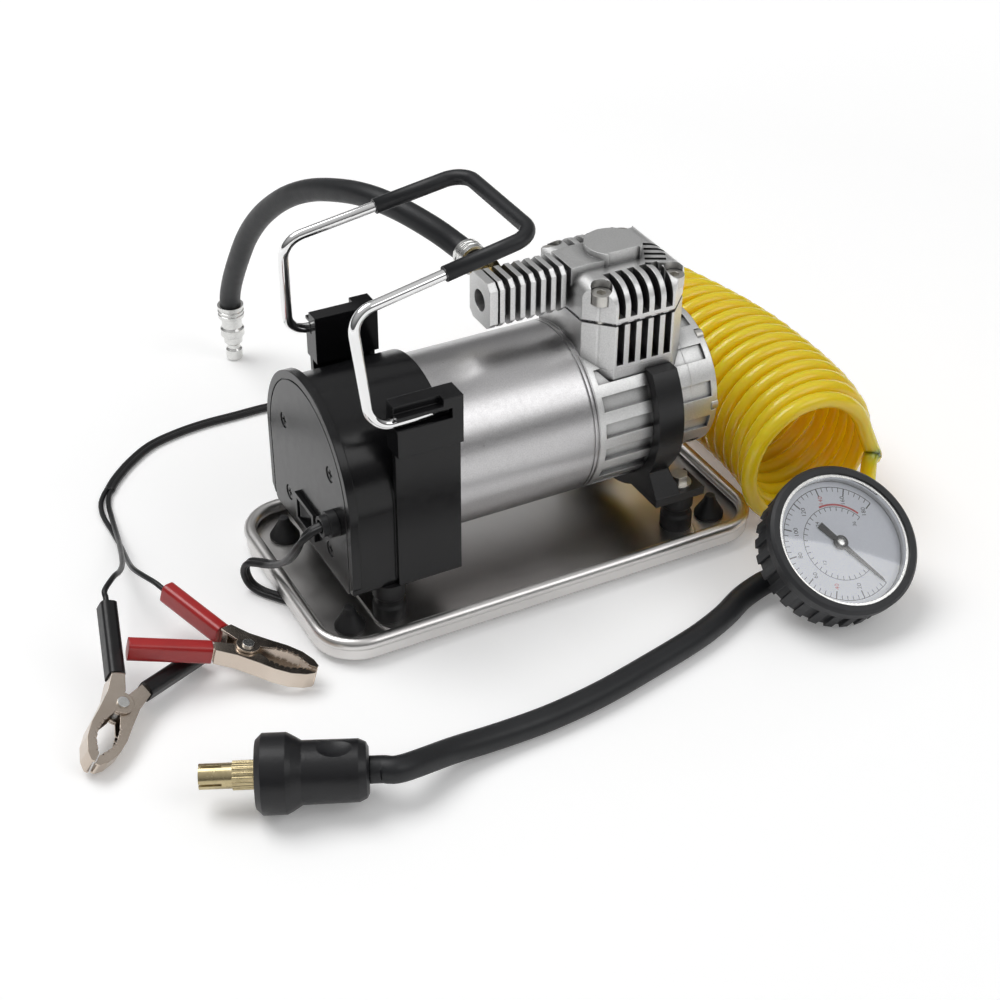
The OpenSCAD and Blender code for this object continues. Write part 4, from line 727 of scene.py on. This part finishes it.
leg_end, leg_bend, shoulder, top = (Vector(p) for p in (
    (-47.3, -44, 109.5), (-82, -44, 109.5), (-85, -35.5, 158.5), (-1, -32.5, 173.5)))
wire_r = 2.3
sleeve_r = 3.4
sleeve_bore_r = 2.35
handle_sides = 24
top_corner = corner(shoulder, top, Vector((top.x, -top.y, top.z)))
wire_route = both_sides([leg_end, *corner(leg_end, leg_bend, shoulder),
                         *corner(leg_bend, shoulder, top), *top_corner])
wire = sleeved("handle_wire", wire_route, ring_of(wire_r, handle_sides), handle_wire)
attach(wire, "inflator")
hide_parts("handle_frame")
sleeve_start = shoulder.lerp(top, 0.5)
sleeve_route = both_sides([sleeve_start, *top_corner])
sleeve = sleeved("handle_sleeve", sleeve_route, ring_of(sleeve_r, handle_sides), hose_rubber,
                 bore=ring_of(sleeve_bore_r, handle_sides))
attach(sleeve, "inflator")
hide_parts("handle_grip")

# ---------------------------------------------------------------- motor
# A drawn steel can with a satin silver lacquer closes the motor between the front cover
# and the crankcase.
can_lacquer = Finish("can_lacquer", Metallic=1.0)
flake = can_lacquer.place.noise(2200, 2)
can_lacquer["Base Color"] = flake.mixed((0.42, 0.415, 0.42), (0.70, 0.69, 0.695))
can_lacquer.worn(0.24, 0.14, 500, 3)
can_lacquer.bumped(flake, 0.00003, 0.0004)
dress(can_lacquer, "motor_can")

# ---------------------------------------------------------------- pump
# The ribbed crankcase, the finned cylinder and the head are cast alloy, bead blasted to
# a fine bright grain. The saddle under the crankcase is painted black.
cast_alloy = Finish("cast_alloy", Metallic=1.0)
grain = cast_alloy.place.noise(1500, 3, 0.6)
# Painted shade: an ambient occlusion mask darkens the base colour to near black in the slots between the
# fins, in hollows and where parts meet.
painted_hollow_shade = cast_alloy.node("AmbientOcclusion", {"Distance": 0.006}, out=1, samples=6)
blasted = grain.mixed((0.60, 0.60, 0.60), (0.92, 0.92, 0.91))
cast_alloy["Base Color"] = (painted_hollow_shade ** 1.6).mixed((0.05, 0.05, 0.052), blasted)
cast_alloy.worn(0.3, 0.2, 700, 3)
cast_alloy.bumped(grain, 0.00008, 0.0005)
dress(cast_alloy, "crankcase", "rear_cover", "cylinder_block", "cylinder_head", "connecting_rod")
bracket_paint = Finish("bracket_paint", Roughness=0.35)
bracket_paint.toned(90, 3, (0.003, 0.003, 0.004), (0.009, 0.009, 0.01))
bracket_paint.bumped(bracket_paint.place.noise(900, 2), 0.00004, 0.0006)
dress(bracket_paint, "mounting_bracket")

# ---------------------------------------------------------------- inside the motor and pump
# Ground steel shaft and bearings, a lacquered steel core with copper windings, ferrite
# magnets, carbon brushes, a cast iron crank web and the piston with its seal.
ground_steel = Finish("ground_steel", Metallic=1.0)
ground_steel.toned(600, 2, (0.5, 0.5, 0.51), (0.66, 0.66, 0.67))
ground_steel.worn(0.2, 0.12, 400, 2)
dress(ground_steel, "motor_shaft", "shaft_bearings", "crank_bearing", "valve_plate")
core_lacquer = Finish("core_lacquer", Metallic=0.6, Roughness=0.5)
sheets = core_lacquer.place.scaled(1500, 20, 20).noise(1, 2)
core_lacquer["Base Color"] = sheets.mixed((0.12, 0.12, 0.13), (0.3, 0.3, 0.31))
dress(core_lacquer, "armature_core")
copper_wire = Finish("copper_wire", Metallic=0.9)
strands = copper_wire.place.scaled(80, 900, 900).noise(1, 2)
copper_wire["Base Color"] = strands.mixed((0.45, 0.16, 0.06), (0.75, 0.36, 0.18))
copper_wire.worn(0.25, 0.2, 300, 2)
dress(copper_wire, "armature_windings", "commutator")
dark_ferrite = Finish("dark_ferrite", Roughness=0.6)
dark_ferrite.toned(500, 3, (0.05, 0.05, 0.055), (0.11, 0.11, 0.115))
dress(dark_ferrite, "field_magnets", "carbon_brushes", "piston_cup", "crank_web")

# ---------------------------------------------------------------- floor and light
# A plain white floor that turns up far away, one wide soft lamp high on the left behind
# the unit, a second one high in front on the right, and a grey sky, darker low down.
floor_r = 6
floor_rim = 0.45
floor_drop = 0.0002
glow_near = 0.16
glow_gain = 0.42
glow_start = 0.5
glow_full = 2.5
floor_paper = Finish("floor_paper", Base_Color=(0.93, 0.93, 0.93), Roughness=0.9,
                     Specular_IOR_Level=0.1, Emission_Strength=1.0)
seen = sum(floor_paper.node("LightPath", {}, out=ray) for ray in (
    "Is Camera Ray", "Is Glossy Ray", "Is Transmission Ray"))
distance = floor_paper.node("VectorMath", {0: floor_paper.place}, out="Value", operation="LENGTH")
glow = glow_near + glow_gain * distance.between(glow_start, glow_full)
floor_paper["Emission Color"] = (seen * glow).mixed((0, 0, 0), (1, 1, 1))
bm = bmesh.new()
bmesh.ops.create_circle(bm, cap_ends=True, segments=64, radius=floor_r)
rim = bmesh.ops.extrude_edge_only(bm, edges=bm.edges[:])["geom"]
rim_points = [v for v in rim if isinstance(v, bmesh.types.BMVert)]
bmesh.ops.translate(bm, verts=rim_points, vec=(0, 0, floor_rim))
bmesh.ops.translate(bm, verts=bm.verts[:], vec=(0, 0, -floor_drop))
built("floor", bm, floor_paper)
light_target = Vector((0, 0, 0.06))
for lamp_name, place, size, power in (
    ("top_lamp", (-0.80, 0.90, 2.5), 1.9, 36.0),
    ("front_lamp", (0.95, -1.50, 1.70), 1.5, 9.2),
):
    lamp_data = bpy.data.lights.new(lamp_name, "AREA")
    lamp_data.shape = "DISK"
    lamp_data.size = size
    lamp_data.energy = power
    lamp = bpy.data.objects.new(lamp_name, lamp_data)
    bpy.context.scene.collection.objects.link(lamp)
    lamp.location = place
    lamp.rotation_mode = "QUATERNION"
    lamp.rotation_quaternion = (light_target - Vector(place)).to_track_quat("-Z", "Y")
sky = bpy.data.worlds.new("sky")
bpy.context.scene.world = sky
sky.use_nodes = True
sky_place = Wire(sky.node_tree, sky.node_tree.nodes.new("ShaderNodeTexCoord").outputs["Generated"])
sky_shade = sky_place.node("ValToRGB", {0: sky_place.part(2)}, stops=(
    (0.2, (0.10, 0.10, 0.10)), (0.5, (0.34, 0.34, 0.34)), (1.0, (0.66, 0.66, 0.66))))
sky.node_tree.links.new(sky_shade.socket, sky.node_tree.nodes["Background"].inputs["Color"])
sky.node_tree.nodes["Background"].inputs["Strength"].default_value = 1.0
